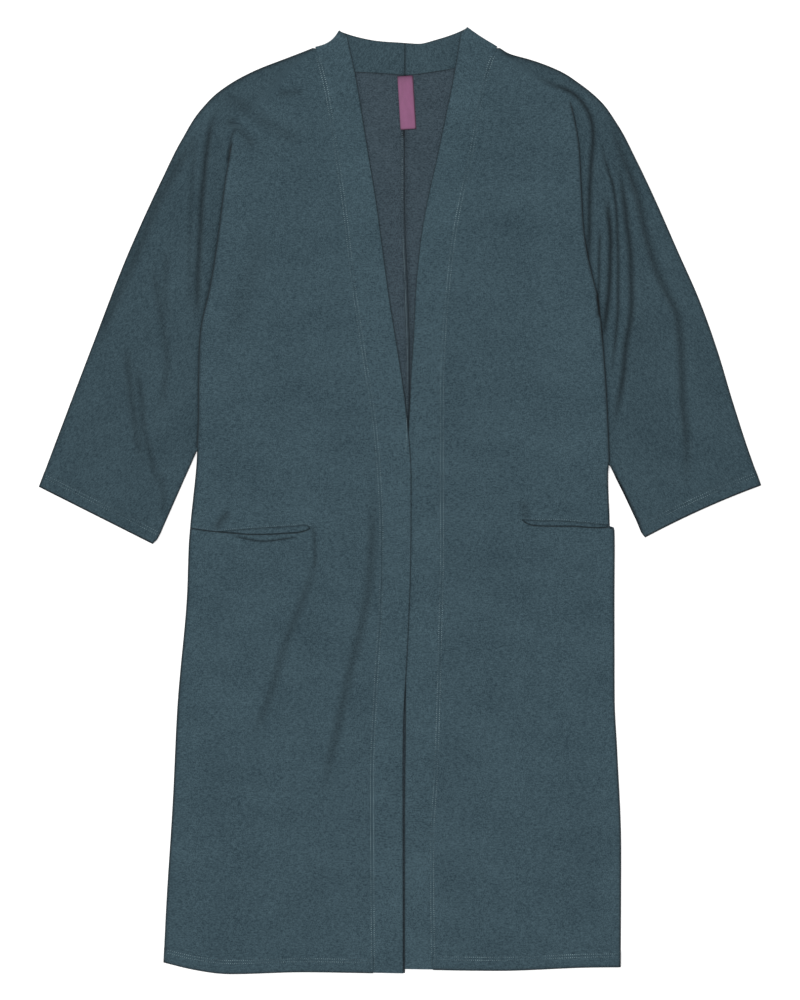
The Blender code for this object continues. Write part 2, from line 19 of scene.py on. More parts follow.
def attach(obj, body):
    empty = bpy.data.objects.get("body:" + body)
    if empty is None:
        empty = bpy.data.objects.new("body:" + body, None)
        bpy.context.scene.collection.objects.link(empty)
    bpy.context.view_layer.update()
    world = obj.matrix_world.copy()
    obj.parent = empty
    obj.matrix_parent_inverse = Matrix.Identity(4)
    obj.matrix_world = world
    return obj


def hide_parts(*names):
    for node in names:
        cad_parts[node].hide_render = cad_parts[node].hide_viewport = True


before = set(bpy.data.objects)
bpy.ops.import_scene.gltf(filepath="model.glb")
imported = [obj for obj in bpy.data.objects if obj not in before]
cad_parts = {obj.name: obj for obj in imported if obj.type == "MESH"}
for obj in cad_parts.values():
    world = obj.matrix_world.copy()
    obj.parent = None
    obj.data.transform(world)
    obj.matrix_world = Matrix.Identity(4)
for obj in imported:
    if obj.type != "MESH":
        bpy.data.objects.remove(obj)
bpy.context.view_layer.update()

MM = 0.001
print("nodes:", ", ".join(sorted(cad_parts)))

# %% [markdown]
# ## Walls and layers
#
# A looped-back knit is a little over a millimetre thick once it is laid down. The back lies on the table,
# the front lies on the back, and at the hems each has its turning as a second layer. The heights below are
# those of the middle of each wall, a hair apart so that no two layers touch. Where two edges meet in a
# seam they pass into each other by a fifth of a millimetre, or the white table would show between them as
# a pale line.

# %% Thicknesses and heights
CLOTH = 1.3
HEM_CLOTH = 2.5
BAND_CLOTH = 2.2
AIR = 0.3
SEAM_AIR = -0.2
BACK_WALL = 1.5
FRONT_MID = BACK_WALL + AIR + 0.05 + CLOTH / 2
BAND_MID = BACK_WALL + AIR + BAND_CLOTH / 2
HEM_UNDER_MID = 2.6 + AIR + CLOTH / 2
HEM_TOP_MID = HEM_UNDER_MID + CLOTH + 0.12
BAG_RISE = 1.8

HEM_DEPTH = 14.5
HEM_Y = -575.0
HEM_DRAWS_FROM = -400.0

TURN_RADIUS = 1.0
TURN_LENGTH = math.pi * TURN_RADIUS
PLEAT_OPENS = 34.0
PLEAT_SHALLOW, PLEAT_DEEP, PLEAT_GROWS = 1.0, 15.0, 220.0
HUMP_FALL, UNDERARM_FALL = 46.0, 52.0

# %% [markdown]
# ## The lines that the cloth follows
#
# Each half has its own edges, read off the picture: the seam of the band, the front edge, the line
# of the overarm, the fold beside the armhole, the side and the hem. A row is (y, x), because every one of
# these lines runs down the robe, and a smooth curve through a dozen rows gives the rest.

# %% Edges of the right half
RIGHT = {
    "name": "right",
    "out": -1,
    "neck": (-102.6, 551.6),
    "tip": (-72.9, 571.9),
    "neck_hollow": 5.0,
    "cuff_hollow": 0.0,
    "seam": [(552, -103.2), (507.9, -91.5), (435.9, -79.3), (351.7, -67.1), (267.5, -57.3), (173.6, -43.3),
             (94.9, -31.2), (24, -25), (-36, -22.6), (-109.4, -23.2), (-243.6, -30.5), (-341, -34.2),
             (-577, -32.9)],
    "edge": [(571.9, -72.9), (566.5, -64.9), (560, -63.4), (522.9, -55.2), (442, -41.6), (366.4, -29.3),
             (244.4, -12.6), (173.6, -1.3), (143.5, 3.4), (96.7, 8.9), (29.6, 13.7), (-60.6, 13.4),
             (-182.6, 9.2), (-255.8, 4.9), (-341, 3.7), (-577, 4.1)],
    "overarm": [(551.2, -107), (541.5, -132), (525, -174.5), (500, -218.4), (476, -242.8), (439.6, -266),
                (390.8, -290.4), (305.4, -329.4), (183.4, -377), (61.4, -423.3), (17, -440)],
    "fold": [(440.8, -203.7), (381.6, -213.5), (311.5, -222.7), (256.6, -231.8), (214, -241.5), (153, -245),
             (92, -245.5), (64.4, -247)],
    "side": [(64.4, -247), (49, -247.7), (0, -252.5), (-36, -256.2), (-121.6, -259.9), (-243.6, -270.8),
             (-365.6, -276.9), (-487.6, -284.3), (-577, -288.4)],
    "hem": [(-288.4, -562.8), (-251.8, -571.6), (-206.2, -577), (-117, -574.7), (-56, -575.5), (4.1, -576.7)],
    "cuff": [(-440, 17), (-301.3, -52.7)],
    "underarm": [(-248.2, 59.6), (-256.2, 41), (-264.4, 22.7), (-280.6, -13.9), (-292, -40), (-296.2, -48),
                 (-301.3, -52.7)],
    "back_neck": [(6.0, 518.5), (-30.5, 521.3), (-55.6, 522.3), (-78, 529), (-94, 540)],
    "band_top": [(6.0, 557.9), (-34.5, 561.4), (-63.4, 568.5)],
    "pocket_part": 0.373,
    "mouth": -32,
    "upper_lip": [(-256, -33.4), (-238, -36.2), (-222, -37.8), (-198, -35.8), (-165, -33.4), (-134, -31.6),
                  (-117, -30.2), (-110.4, -31.4), (-108.6, -33.0)],
    "lower_lip": [(-256, -34.2), (-238, -37.0), (-222, -38.8), (-201, -40.6), (-183, -42.0), (-158, -41.8),
                  (-140, -40.6), (-122, -39.2), (-112, -36.0), (-108.6, -34.0)],
}

# %% Edges of the left half
LEFT = {
    "name": "left",
    "out": 1,
    "neck": (117.8, 551.8),
    "tip": (80.6, 575.6),
    "neck_hollow": 1.0,
    "cuff_hollow": 3.0,
    "seam": [(552, 118.3), (536, 111), (504, 101.3), (435.9, 89.1), (329.8, 67.1), (238.8, 56.6),
             (134.6, 51.2), (39.4, 51), (-52, 51.2), (-170.4, 48.8), (-329, 43.9), (-426.6, 39),
             (-577, 40.3)],
    "edge": [(575.6, 80.6), (571, 75.2), (563, 73.4), (526, 67.1), (435.9, 48.8), (329.8, 26.8),
             (244.4, 18.3), (201.7, 16.5), (160, 13.7), (113.8, 11.7), (37, 7.3), (-73, 6.5), (-256, 6.5),
             (-400, 5.5), (-577, 5.5)],
    "overarm": [(551.4, 122), (544, 134.9), (537, 159.8), (525, 191.5), (507.9, 219), (488.4, 242.8),
                (457.6, 265.6), (415, 287.9), (366.4, 311), (305.4, 337.9), (244.4, 364.8), (183.4, 386.7),
                (122.4, 405), (61.4, 424.6), (18.7, 440)],
    "fold": [(490.8, 206.2), (439.6, 216.6), (375.5, 220.8), (323.7, 224.2), (277.9, 233), (244.4, 241),
             (207.8, 245.2), (146.8, 250.1), (85.8, 253.2), (46.7, 254.7)],
    "side": [(46.7, 254.7), (30.9, 253.6), (-17.9, 255.2), (-29.6, 255.6), (-31.6, 256.2), (-32.6, 260.2),
             (-34, 261.2), (-60, 261.6), (-121.6, 261.3), (-243.6, 261.7), (-304.6, 264.7), (-426.6, 269.6),
             (-577, 269)],
    "hem": [(5.6, -571.4), (119.3, -573), (233, -569), (269, -568.7)],
    "cuff": [(440, 18.7), (298.5, -44.8)],
    "underarm": [(255.6, 43), (258.3, 37.8), (264.3, 24.8), (272.5, 8.5), (288.8, -26.1), (294.4, -40),
                 (298.5, -44.8)],
    "back_neck": [(6.0, 518.5), (24.4, 520.1), (42.5, 522.9), (65.5, 526.4), (90, 534), (108, 543)],
    "band_top": [(6.0, 557.9), (22.8, 556.9), (42.5, 561.4), (74.7, 572.7)],
    "pocket_part": 0.4785,
    "mouth": -29,
    "upper_lip": [(149.3, -23.2), (153, -23.6), (163, -24.4), (195, -25.0), (225, -27.2), (244, -29.2),
                  (261.4, -30.0)],
    "lower_lip": [(149.3, -24.6), (153, -27.4), (161, -30.6), (183, -31.8), (213.5, -32.0), (238, -33.8),
                  (250, -33.4), (261.4, -31.4)],
}
CENTRE_BACK = [(518.5, 6.1), (449, 5.4), (366, 5.4), (244.4, 9.8), (170, 11.7), (0, 9), (-200, 7), (-577, 6)]

# %% [markdown]
# ## Curves through a few rows
#
# `follow` is the whole trick: it reads a table as a smooth curve and takes one height or thousands at
# once. `at_length` walks along a line by its length, which a slanted cuff needs, because its rows fan
# round.

# %% Curve helpers
def smooth(value):
    value = np.clip(value, 0.0, 1.0)
    return value * value * (3 - 2 * value)


def follow(table, at):
    rows = np.array(sorted(table), float)
    keys, values = rows[:, 0], rows[:, 1]
    slopes = np.gradient(values, keys)
    secants = np.diff(values) / np.diff(keys)
    before, after = np.append(secants[:1], secants), np.append(secants, secants[-1:])
    limit = 3 * np.minimum(abs(before), abs(after))
    slopes = np.where(before * after > 0, np.clip(slopes, -limit, limit), 0)
    at = np.clip(at, keys[0], keys[-1])
    i = np.clip(np.searchsorted(keys, at) - 1, 0, len(keys) - 2)
    span = keys[i + 1] - keys[i]
    t = (at - keys[i]) / span
    return (
        values[i] * (1 + 2 * t) * (1 - t) ** 2
        + slopes[i] * span * t * (1 - t) ** 2
        + values[i + 1] * t * t * (3 - 2 * t)
        + slopes[i + 1] * span * t * t * (t - 1)
    )


def lengths_along(points):
    return np.concatenate([[0], np.cumsum(np.hypot(*np.diff(np.array(points, float)[:, :2], axis=0).T))])


def at_length(points, distance):
    points = np.array(points, float)
    lengths = lengths_along(points)
    return np.array([np.interp(distance, lengths, points[:, i]) for i in range(points.shape[1])]).T


def curve_through(points, count=80):
    """A smooth line through a few points, evenly spaced."""
    points = np.array(points, float)
    lengths = lengths_along(points)
    at = np.linspace(0, lengths[-1], count)
    return np.column_stack([follow(list(zip(lengths, points[:, i])), at) for i in range(points.shape[1])])


# %% [markdown]
# ## Folds
#
# Laid cloth has two sorts of relief here: long creases that run down the sleeves from the shoulder, and a
# few shallow drags on the body. A crease is a narrow valley between two soft rolls, because the table
# keeps cloth from sinking and so it can only stand up beside the line. Each is drawn as a line
# with the height of the roll on either side, how sharp the valley is and how far the rolls reach. In light
# this even a valley a millimetre deep hardly shows, so each also says how much darker the knit is painted
# down in it.

# %% The table of creases
# half, roll on the picture's left or below, roll on its right or above, sharpness, reach, shade,
# points downwards
CREASES = [
    ("right", 1.8, 4.0, 3.4, 15, 0.42, [(-211, 484), (-219, 480), (-226.7, 468), (-235, 431),
        (-239, 394.8), (-242, 366.4), (-243, 338), (-245, 305.4), (-246.5, 272.8), (-247, 240),
        (-247, 205)]),
    ("right", 1.1, 0.6, 3.6, 11, 0.14, [(-246, 456), (-250, 428), (-253, 387), (-254.5, 346), (-256, 305),
        (-256, 256), (-254, 210)]),
    ("right", 1.8, 2.4, 5.0, 22, 0.24, [(-241, 461), (-265, 419), (-294, 365), (-326, 288.3),
        (-355, 222.7), (-372, 169)]),
    ("right", 1.3, 1.2, 3.6, 11, 0.20, [(-301, 296), (-297.9, 268), (-293.9, 240.7), (-289.7, 216),
        (-285.7, 191.9), (-283.6, 167.5), (-288, 134.6), (-290, 100)]),
    ("right", 1.1, 1.1, 3.6, 10, 0.15, [(-283, 310), (-285, 285), (-286.5, 256.6), (-282, 218)]),
    ("right", 1.5, 1.2, 4.0, 11, 0.24, [(-335, 196), (-331, 160), (-328.7, 134.6), (-324, 102),
        (-320, 73.6), (-314, 40)]),
    ("right", 1.8, 2.4, 3.2, 12, 0.24, [(-322, 172), (-318.5, 148), (-315, 122), (-313, 94), (-307, 66),
        (-301.9, 45.5), (-297, 8)]),
    ("right", 1.4, 1.8, 3.4, 10, 0.20, [(-293, 40), (-289.7, 16.6), (-288, 0.4), (-290, -24)]),
    ("right", 1.2, 2.0, 7.0, 22, 0.16, [(-226, 491), (-205, 488), (-180, 472), (-152.5, 454),
        (-114, 435)]),
    ("right", 0.8, 1.4, 4.6, 15, 0.27, [(-213, 467), (-199, 455), (-175, 431)]),
    ("right", 1.0, 1.1, 3.6, 12, 0.22, [(-152, 495), (-137, 497), (-116, 499)]),
    ("right", 1.2, 1.8, 1.9, 8, 0.36, [(-199, 455), (-204.5, 446), (-207.5, 432), (-211, 408)]),
    ("right", 0.8, 0.8, 11.0, 28, 0.09, [(-168, 330), (-178, 285), (-190, 245), (-204, 196)]),
    ("right", 1.8, 0.2, 2.0, 11, 0.34, [(-108, -25), (-105.6, -36), (-104.4, -50), (-103.4, -66),
        (-104, -88)]),
    ("right", 1.8, 0.6, 4.4, 20, 0.26, [(-101, -62), (-110, -98), (-117, -117), (-137.7, -170),
        (-160.6, -243.6), (-182, -296)]),
    ("right", 0.8, 1.6, 5.0, 24, 0.30, [(-32, 34), (-33, -20), (-37.5, -101), (-47.3, -154),
        (-59.5, -203), (-75.7, -276), (-97.5, -372)]),
    ("right", 1.2, 0.6, 4.0, 12, 0.38, [(-206, -12), (-214, -20), (-220, -28), (-226, -37)]),
    ("right", 0.5, 1.7, 1.2, 3.4, 0.62, [(-208, -42.0), (-189, -46.4), (-168, -49.6), (-156, -49.0),
        (-140, -46.8), (-120, -44.5)]),
    ("right", 0.5, 0.5, 10.0, 24, 0.03, [(-84, -436), (-110, -471), (-140, -508), (-170, -544)]),
    ("left", 2.2, 3.0, 2.8, 11, 0.52, [(154, 516), (170.8, 512.8), (191, 504.6), (204, 500),
        (219.6, 488.4), (231.8, 468), (235.5, 443.6), (233.8, 420), (232, 395), (231, 360), (230.8, 325),
        (230, 300), (232, 268)]),
    ("left", 1.2, 1.4, 1.6, 6, 0.50, [(244.5, 335), (242.8, 300), (242.3, 270), (241.8, 250),
        (240.5, 234)]),
    ("left", 0.0, 0.0, 1.3, 3, 0.95, [(240.4, 252), (240.8, 242), (241.1, 233), (241.8, 220)]),
    ("left", 1.8, 2.2, 2.8, 9, 0.62, [(250, 378), (254.5, 346), (256.7, 316), (256.2, 291.5),
        (255.3, 263.5), (252.7, 236), (249.2, 211), (246, 186)]),
    ("left", 1.6, 1.6, 1.9, 7, 0.52, [(243, 446), (253.6, 403), (259.2, 385.5), (263.2, 359.4),
        (264.9, 328), (265.8, 298.4), (265.8, 272), (265.8, 237), (264, 211), (261, 180), (257, 146)]),
    ("left", 3.0, 3.0, 3.2, 12, 0.50, [(258, 426), (269.3, 392.5), (273.6, 363), (277.1, 333.4),
        (280.6, 305.4), (281.5, 281), (282.3, 246), (280.6, 218), (276.2, 194), (271.9, 150.4),
        (265, 112), (257, 76)]),
    ("left", 3.4, 1.8, 4.4, 17, 0.34, [(244, 488), (256, 464), (272, 419), (288.8, 374.9), (301, 321.6),
        (313, 281), (325.4, 252.9), (337, 230), (341.6, 199.6), (343.7, 163), (345, 122), (349, 82),
        (350, 37), (350, -2)]),
    ("left", 0.2, 0.9, 1.0, 5, 0.60, [(259, 42), (262.5, 34), (268.5, 21), (276, 6), (284.5, -11),
        (292.5, -29), (297, -42)]),
    ("left", 0.8, 1.0, 4.5, 12, 0.24, [(151, 2), (152, -12), (154, -24)]),
    ("left", 0.5, 0.4, 8.0, 22, 0.02, [(138, -150), (132, -205), (120, -265)]),
]
DIP = -0.5


def crease_height(half, x, y):
    """The relief that the creases of one half add at many places, and the painted shade of their valleys there.
    """
    x, y = np.asarray(x, float), np.asarray(y, float)
    total, valley = np.zeros(x.shape), np.zeros(x.shape)
    for name, minus, plus, sharp, reach, shade, points in CREASES:
        line = curve_through(points, 70)
        margin = 2.6 * reach
        near = ((x > line[:, 0].min() - margin) & (x < line[:, 0].max() + margin)
                & (y > line[:, 1].min() - margin) & (y < line[:, 1].max() + margin))
        if name != half or not near.any():
            continue
        away = np.hypot(x[near][:, None] - line[:, 0], y[near][:, None] - line[:, 1])
        nearest = away.argmin(axis=1)
        tangent = np.gradient(line, axis=0)[nearest]
        tangent /= np.hypot(*tangent.T)[:, None]
        offset = np.column_stack([x[near], y[near]]) - line[nearest]
        across = offset[:, 1] * tangent[:, 0] - offset[:, 0] * tangent[:, 1]
        beyond = np.abs((offset * tangent).sum(axis=1))
        side = smooth(across / sharp / 2 + 0.5)
        roll = minus + (plus - minus) * side
        form = roll * (1 - np.exp(-np.abs(across) / sharp)) * np.exp(-(across / reach) ** 2)
        form -= 0.3 * np.exp(-(across / sharp) ** 2)
        along = nearest / (len(line) - 1)
        taper = smooth(along / 0.2) * smooth((1 - along) / 0.2)
        fade = taper * np.exp(-(beyond / reach) ** 2)
        total[near] += form * fade
        # Painted shade: dark down the valley, a broad fall-off over its flanks, and a little painted highlight
        # along the crests of the rolls.
        core, flanks = np.exp(-(across / sharp) ** 2), np.exp(-(across / sharp / 2.2) ** 2)
        crest = np.exp(-((np.abs(across) / sharp - 2.4) / 0.8) ** 2)
        valley[near] += shade * fade * (0.80 * core + 0.35 * flanks - 0.16 * crest)
    return total, np.clip(valley, -0.06, 0.85)


def relief(side, x, y):
    soft, valley = crease_height(side["name"], x, y)
    return np.maximum(soft + waves(x, y), DIP), valley


def waves(x, y):
    """Slow unevenness of cloth that was smoothed by hand."""
    return (0.16 * np.sin(x / 31 + y / 57 + 0.4) * np.sin(y / 43 - x / 71)
            + 0.10 * np.sin(x / 17 - y / 29 + 1.9) * np.sin(y / 23 + x / 37 + 0.8))


# %% [markdown]
# ## The sheet, built row by row
#
# A panel is an open surface of rows, each from the band's seam to the outer edge. It keeps a UV map in
# metres that follows the knit's courses, and a thickness at each point that Solidify reads from a vertex
# group, so an edge can be thinner than the middle and look rolled.

# %% A sheet of cloth
class Sheet:
    def __init__(self):
        self.points, self.grain, self.thick, self.faces, self.dark = [], [], [], [], []

    def row(self, points, thick, turned=0.0, pivot=(0.0, 0.0), dark=0.0):
        """Adds a row of (x, y, z); turned is how far the courses are turned there, about the pivot."""
        points = np.array(points, float)
        first = len(self.points)
        turned = np.broadcast_to(turned, len(points))
        u, v = points[:, 0] - pivot[0], points[:, 1] - pivot[1]
        self.grain.extend(zip(pivot[0] + u * np.cos(turned) + v * np.sin(turned),
                              pivot[1] - u * np.sin(turned) + v * np.cos(turned)))
        self.points.extend(map(tuple, points))
        self.thick.extend(np.broadcast_to(thick, len(points)))
        self.dark.extend(np.broadcast_to(dark, len(points)))
        return list(range(first, first + len(points)))

    def join(self, upper, lower, last=None):
        last = len(upper) - 1 if last is None else last
        self.faces.extend((upper[i], lower[i], lower[i + 1], upper[i + 1]) for i in range(last))


def sheet_object(name, sheet, replaces, material, area, offset=0.0):
    mesh = bpy.data.meshes.new(name)
    points = np.array(sheet.points) * MM
    mesh.from_pydata([tuple(p) for p in points], [], sheet.faces)
    mesh.update()
    if sum(face.normal.z * face.area for face in mesh.polygons) < 0:
        mesh.flip_normals()
    mesh.shade_smooth()
    uv = mesh.uv_layers.new(name="courses")
    corner = np.empty(len(mesh.loops), np.int32)
    mesh.loops.foreach_get("vertex_index", corner)
    uv.data.foreach_set("uv", (np.array(sheet.grain)[corner] * MM).ravel())
    shade = mesh.attributes.new("crevice", "FLOAT", "POINT")
    shade.data.foreach_set("value", np.array(sheet.dark, np.float32))
    obj = bpy.data.objects.new(name, mesh)
    bpy.context.scene.collection.objects.link(obj)
    thick = np.round(np.array(sheet.thick), 2)
    group = obj.vertex_groups.new(name="thickness")
    for value in np.unique(thick):
        group.add(np.flatnonzero(thick == value).tolist(), float(value / thick.max()), "REPLACE")
    wall = obj.modifiers.new("wall", "SOLIDIFY")
    wall.thickness = float(thick.max()) * MM
    wall.offset = offset
    wall.vertex_group = group.name
    bpy.ops.object.select_all(action="DESELECT")
    bpy.context.view_layer.objects.active = obj
    obj.select_set(True)
    bpy.ops.object.modifier_apply(modifier=wall.name)
    obj.data.shade_smooth()
    obj.data.materials.append(material)
    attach(obj, "root")
    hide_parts(replaces)
    print(f"{name}: {len(obj.data.polygons)} faces")
    return obj


# %% [markdown]
# ## Shader maths
#
# The knit is all arithmetic on a UV map, so a small class lets a shader be written as an expression. A
# Math node appears for each operator, and `node` makes any other kind.

# %% Expressions on sockets
class Signal:
    def __init__(self, tree, socket):
        self.tree, self.socket = tree, socket

    def math(self, operation, *others, swap=False):
        values = [self, *others]
        if swap:
            values.reverse()
        return node(self.tree, "ShaderNodeMath", {"operation": operation}, dict(enumerate(values)))

    def __add__(self, other): return self.math("ADD", other)
    def __radd__(self, other): return self.math("ADD", other, swap=True)
    def __sub__(self, other): return self.math("SUBTRACT", other)
    def __rsub__(self, other): return self.math("SUBTRACT", other, swap=True)
    def __mul__(self, other): return self.math("MULTIPLY", other)
    def __rmul__(self, other): return self.math("MULTIPLY", other, swap=True)
    def __truediv__(self, other): return self.math("DIVIDE", other)
    def __pow__(self, other): return self.math("POWER", other)
    def __abs__(self): return self.math("ABSOLUTE")
    def sine(self): return self.math("SINE")
    def fraction(self): return self.math("FRACT")
    def floor(self): return self.math("FLOOR")


def node(tree, kind, settings=None, values=None, output=0):
    made = tree.nodes.new(kind)
    for key, value in (settings or {}).items():
        setattr(made, key, value)
    for key, value in (values or {}).items():
        if isinstance(value, Signal):
            tree.links.new(value.socket, made.inputs[key])
        else:
            made.inputs[key].default_value = value
    return Signal(tree, made.outputs[output])


# %% [markdown]
# ## The knit
#
# Seen close, jersey is columns of small V loops a millimetre apart; from a step away only the heather
# shows, dark and pale fibres that run along the courses in short streaks. So each loop takes a shade of
# its own from white noise, noise stretched along the courses adds the streaks, and the loops are a bump
# too. The sleeves' courses lie aslant because the sleeve was turned down from its straight grain, which
# the UV map already carries. An attribute on the sheet paints shade into the knit's colour along its
# edges, in its seams and in its creases, where shade falls, and over the whole sleeve; beside a crease it
# takes a little off the crests, a painted highlight.

# %% Knit materials
WALE, COURSE = 1.25, 1.1
YARN_SHARE, FIBRE_SHARE, STREAK_SHARE, CLOUD_SHARE = 0.66, 0.34, 0.85, 0.4
KNIT_LEVEL = -0.635


def blank_material(name):
    material = bpy.data.materials.new(name)
    material.use_nodes = True
    return material, material.node_tree, material.node_tree.nodes["Principled BSDF"]


def mixed(tree, factor, low, high):
    mix = node(tree, "ShaderNodeMix", {"data_type": "RGBA"}, {0: factor, 6: low, 7: high}, output=2)
    return mix


def stretched_noise(tree, u, v, across, down, detail):
    place = node(tree, "ShaderNodeCombineXYZ", None, {0: u * across, 1: v * down})
    return node(tree, "ShaderNodeTexNoise", {"noise_dimensions": "2D"},
                {"Vector": place, "Scale": 1.0, "Detail": detail, "Roughness": 0.6})


def knit_material(name, dark, light, loops=0.4):
    material, tree, shader = blank_material(name)
    uv = node(tree, "ShaderNodeUVMap", {"uv_map": "courses"})
    split = tree.nodes.new("ShaderNodeSeparateXYZ")
    tree.links.new(uv.socket, split.inputs[0])
    u, v = Signal(tree, split.outputs[0]), Signal(tree, split.outputs[1])
    cell = node(tree, "ShaderNodeCombineXYZ", None, {0: (u * (1 / (WALE * MM))).floor(),
                                                     1: (v * (1 / (COURSE * MM))).floor()})
    yarn = node(tree, "ShaderNodeTexWhiteNoise", {"noise_dimensions": "2D"}, {"Vector": cell})
    fibres = stretched_noise(tree, u, v, 430.0, 640.0, 1.0)
    streaks = stretched_noise(tree, u, v, 150.0, 680.0, 2.0)
    clouds = stretched_noise(tree, u, v, 12.0, 20.0, 2.0)
    spread = yarn * YARN_SHARE + fibres * FIBRE_SHARE + streaks * STREAK_SHARE + clouds * CLOUD_SHARE
    spread = spread + KNIT_LEVEL
    # Painted shade: the attribute mixes the knit towards a near-black copy of its dark tone.
    crevice = node(tree, "ShaderNodeAttribute", {"attribute_name": "crevice"}, None, output=2)
    cloth = mixed(tree, spread, dark, light)
    painted_shade_colour = tuple(channel * 0.16 for channel in dark[:3]) + (1,)
    tree.links.new(mixed(tree, crevice, cloth, painted_shade_colour).socket, shader.inputs["Base Color"])
    wale = (u * (1 / (WALE * MM))).fraction() - 0.5
    lean = abs(wale) * 1.6
    course = (v * (2 * math.pi / (COURSE * MM)) + lean * math.pi).sine()
    loop = (1.0 - abs(wale) * 2.0) * 0.7 + course * 0.3 * (1.0 - abs(wale))
    height = loop + fibres * 0.6
    bump = node(tree, "ShaderNodeBump", None, {"Strength": loops, "Distance": 0.12 * MM, "Height": height})
    tree.links.new(bump.socket, shader.inputs["Normal"])
    tree.links.new((0.86 + fibres * 0.12).socket, shader.inputs["Roughness"])
    shader.inputs["Sheen Weight"].default_value = 0.06
    shader.inputs["Sheen Roughness"].default_value = 0.55
    shader.inputs["Specular IOR Level"].default_value = 0.2
    return material


knit_front = knit_material("knit front", (0.0165, 0.0350, 0.0470, 1), (0.0560, 0.0975, 0.1190, 1))
knit_back = knit_material("knit back", (0.0160, 0.0280, 0.0378, 1), (0.0545, 0.0818, 0.1020, 1))
knit_band = knit_material("knit band", (0.0180, 0.0372, 0.0495, 1), (0.0590, 0.1030, 0.1255, 1))
print("materials:", ", ".join(m.name for m in (knit_front, knit_back, knit_band)))

# %% [markdown]
# ## A front with its sleeve
#
# Above the underarm one row crosses the whole front: the body, the pleat beside the armhole where the
# cloth turns under and comes back out, and the sleeve. The pleat is what lets a straight kimono sleeve
# hang down without a seam. Below the underarm the sheet parts into the body and the sleeve.

# %% The pleat in cross-section
# How dark the painted shade along a free edge is and how far in it reaches; SLEEVE_SHADE is painted shade over
# the whole sleeve.
EDGE_DARK, EDGE_REACH = 0.95, 1.2
SLEEVE_SHADE = 0.12
TURN_STEPS = 6
BODY_COLUMNS = 76
SLEEVE_COLUMNS = np.linspace(0, 1, 91)[1:]
SLEEVE_TURN = math.radians(45)


def underarm_y(side):
    return min(side["fold"])[0]


def pleat_at(side, y):
    below = max(side["fold"])[0] - y
    return (math.pi * float(smooth(below / PLEAT_OPENS)),
            PLEAT_SHALLOW + (PLEAT_DEEP - PLEAT_SHALLOW) * float(smooth(below / PLEAT_GROWS)))


def pleat_steps(angle, depth):
    """Steps (outward, down) from the top layer's last point through both turns to the sleeve's first point."""
    turn = angle / TURN_STEPS
    chord = TURN_LENGTH / TURN_STEPS * (math.sin(turn / 2) / (turn / 2) if turn > 1e-6 else 1)
    headings = [turn * (i + 0.5) for i in range(TURN_STEPS)]
    steps = [(chord * math.cos(h), chord * math.sin(h)) for h in headings]
    flat = [(depth / 3 * math.cos(angle), depth / 3 * math.sin(angle))] * 3
    return np.array(steps + flat + steps[::-1])


def body_columns(side):
    tip = side["pocket_part"]
    before = round(BODY_COLUMNS * tip)
    start = np.concatenate([[0, 0.004, 0.009], np.linspace(0.015, tip, before)])
    return np.concatenate([start, np.linspace(tip, 1, BODY_COLUMNS - before)[1:]]), len(start) - 1


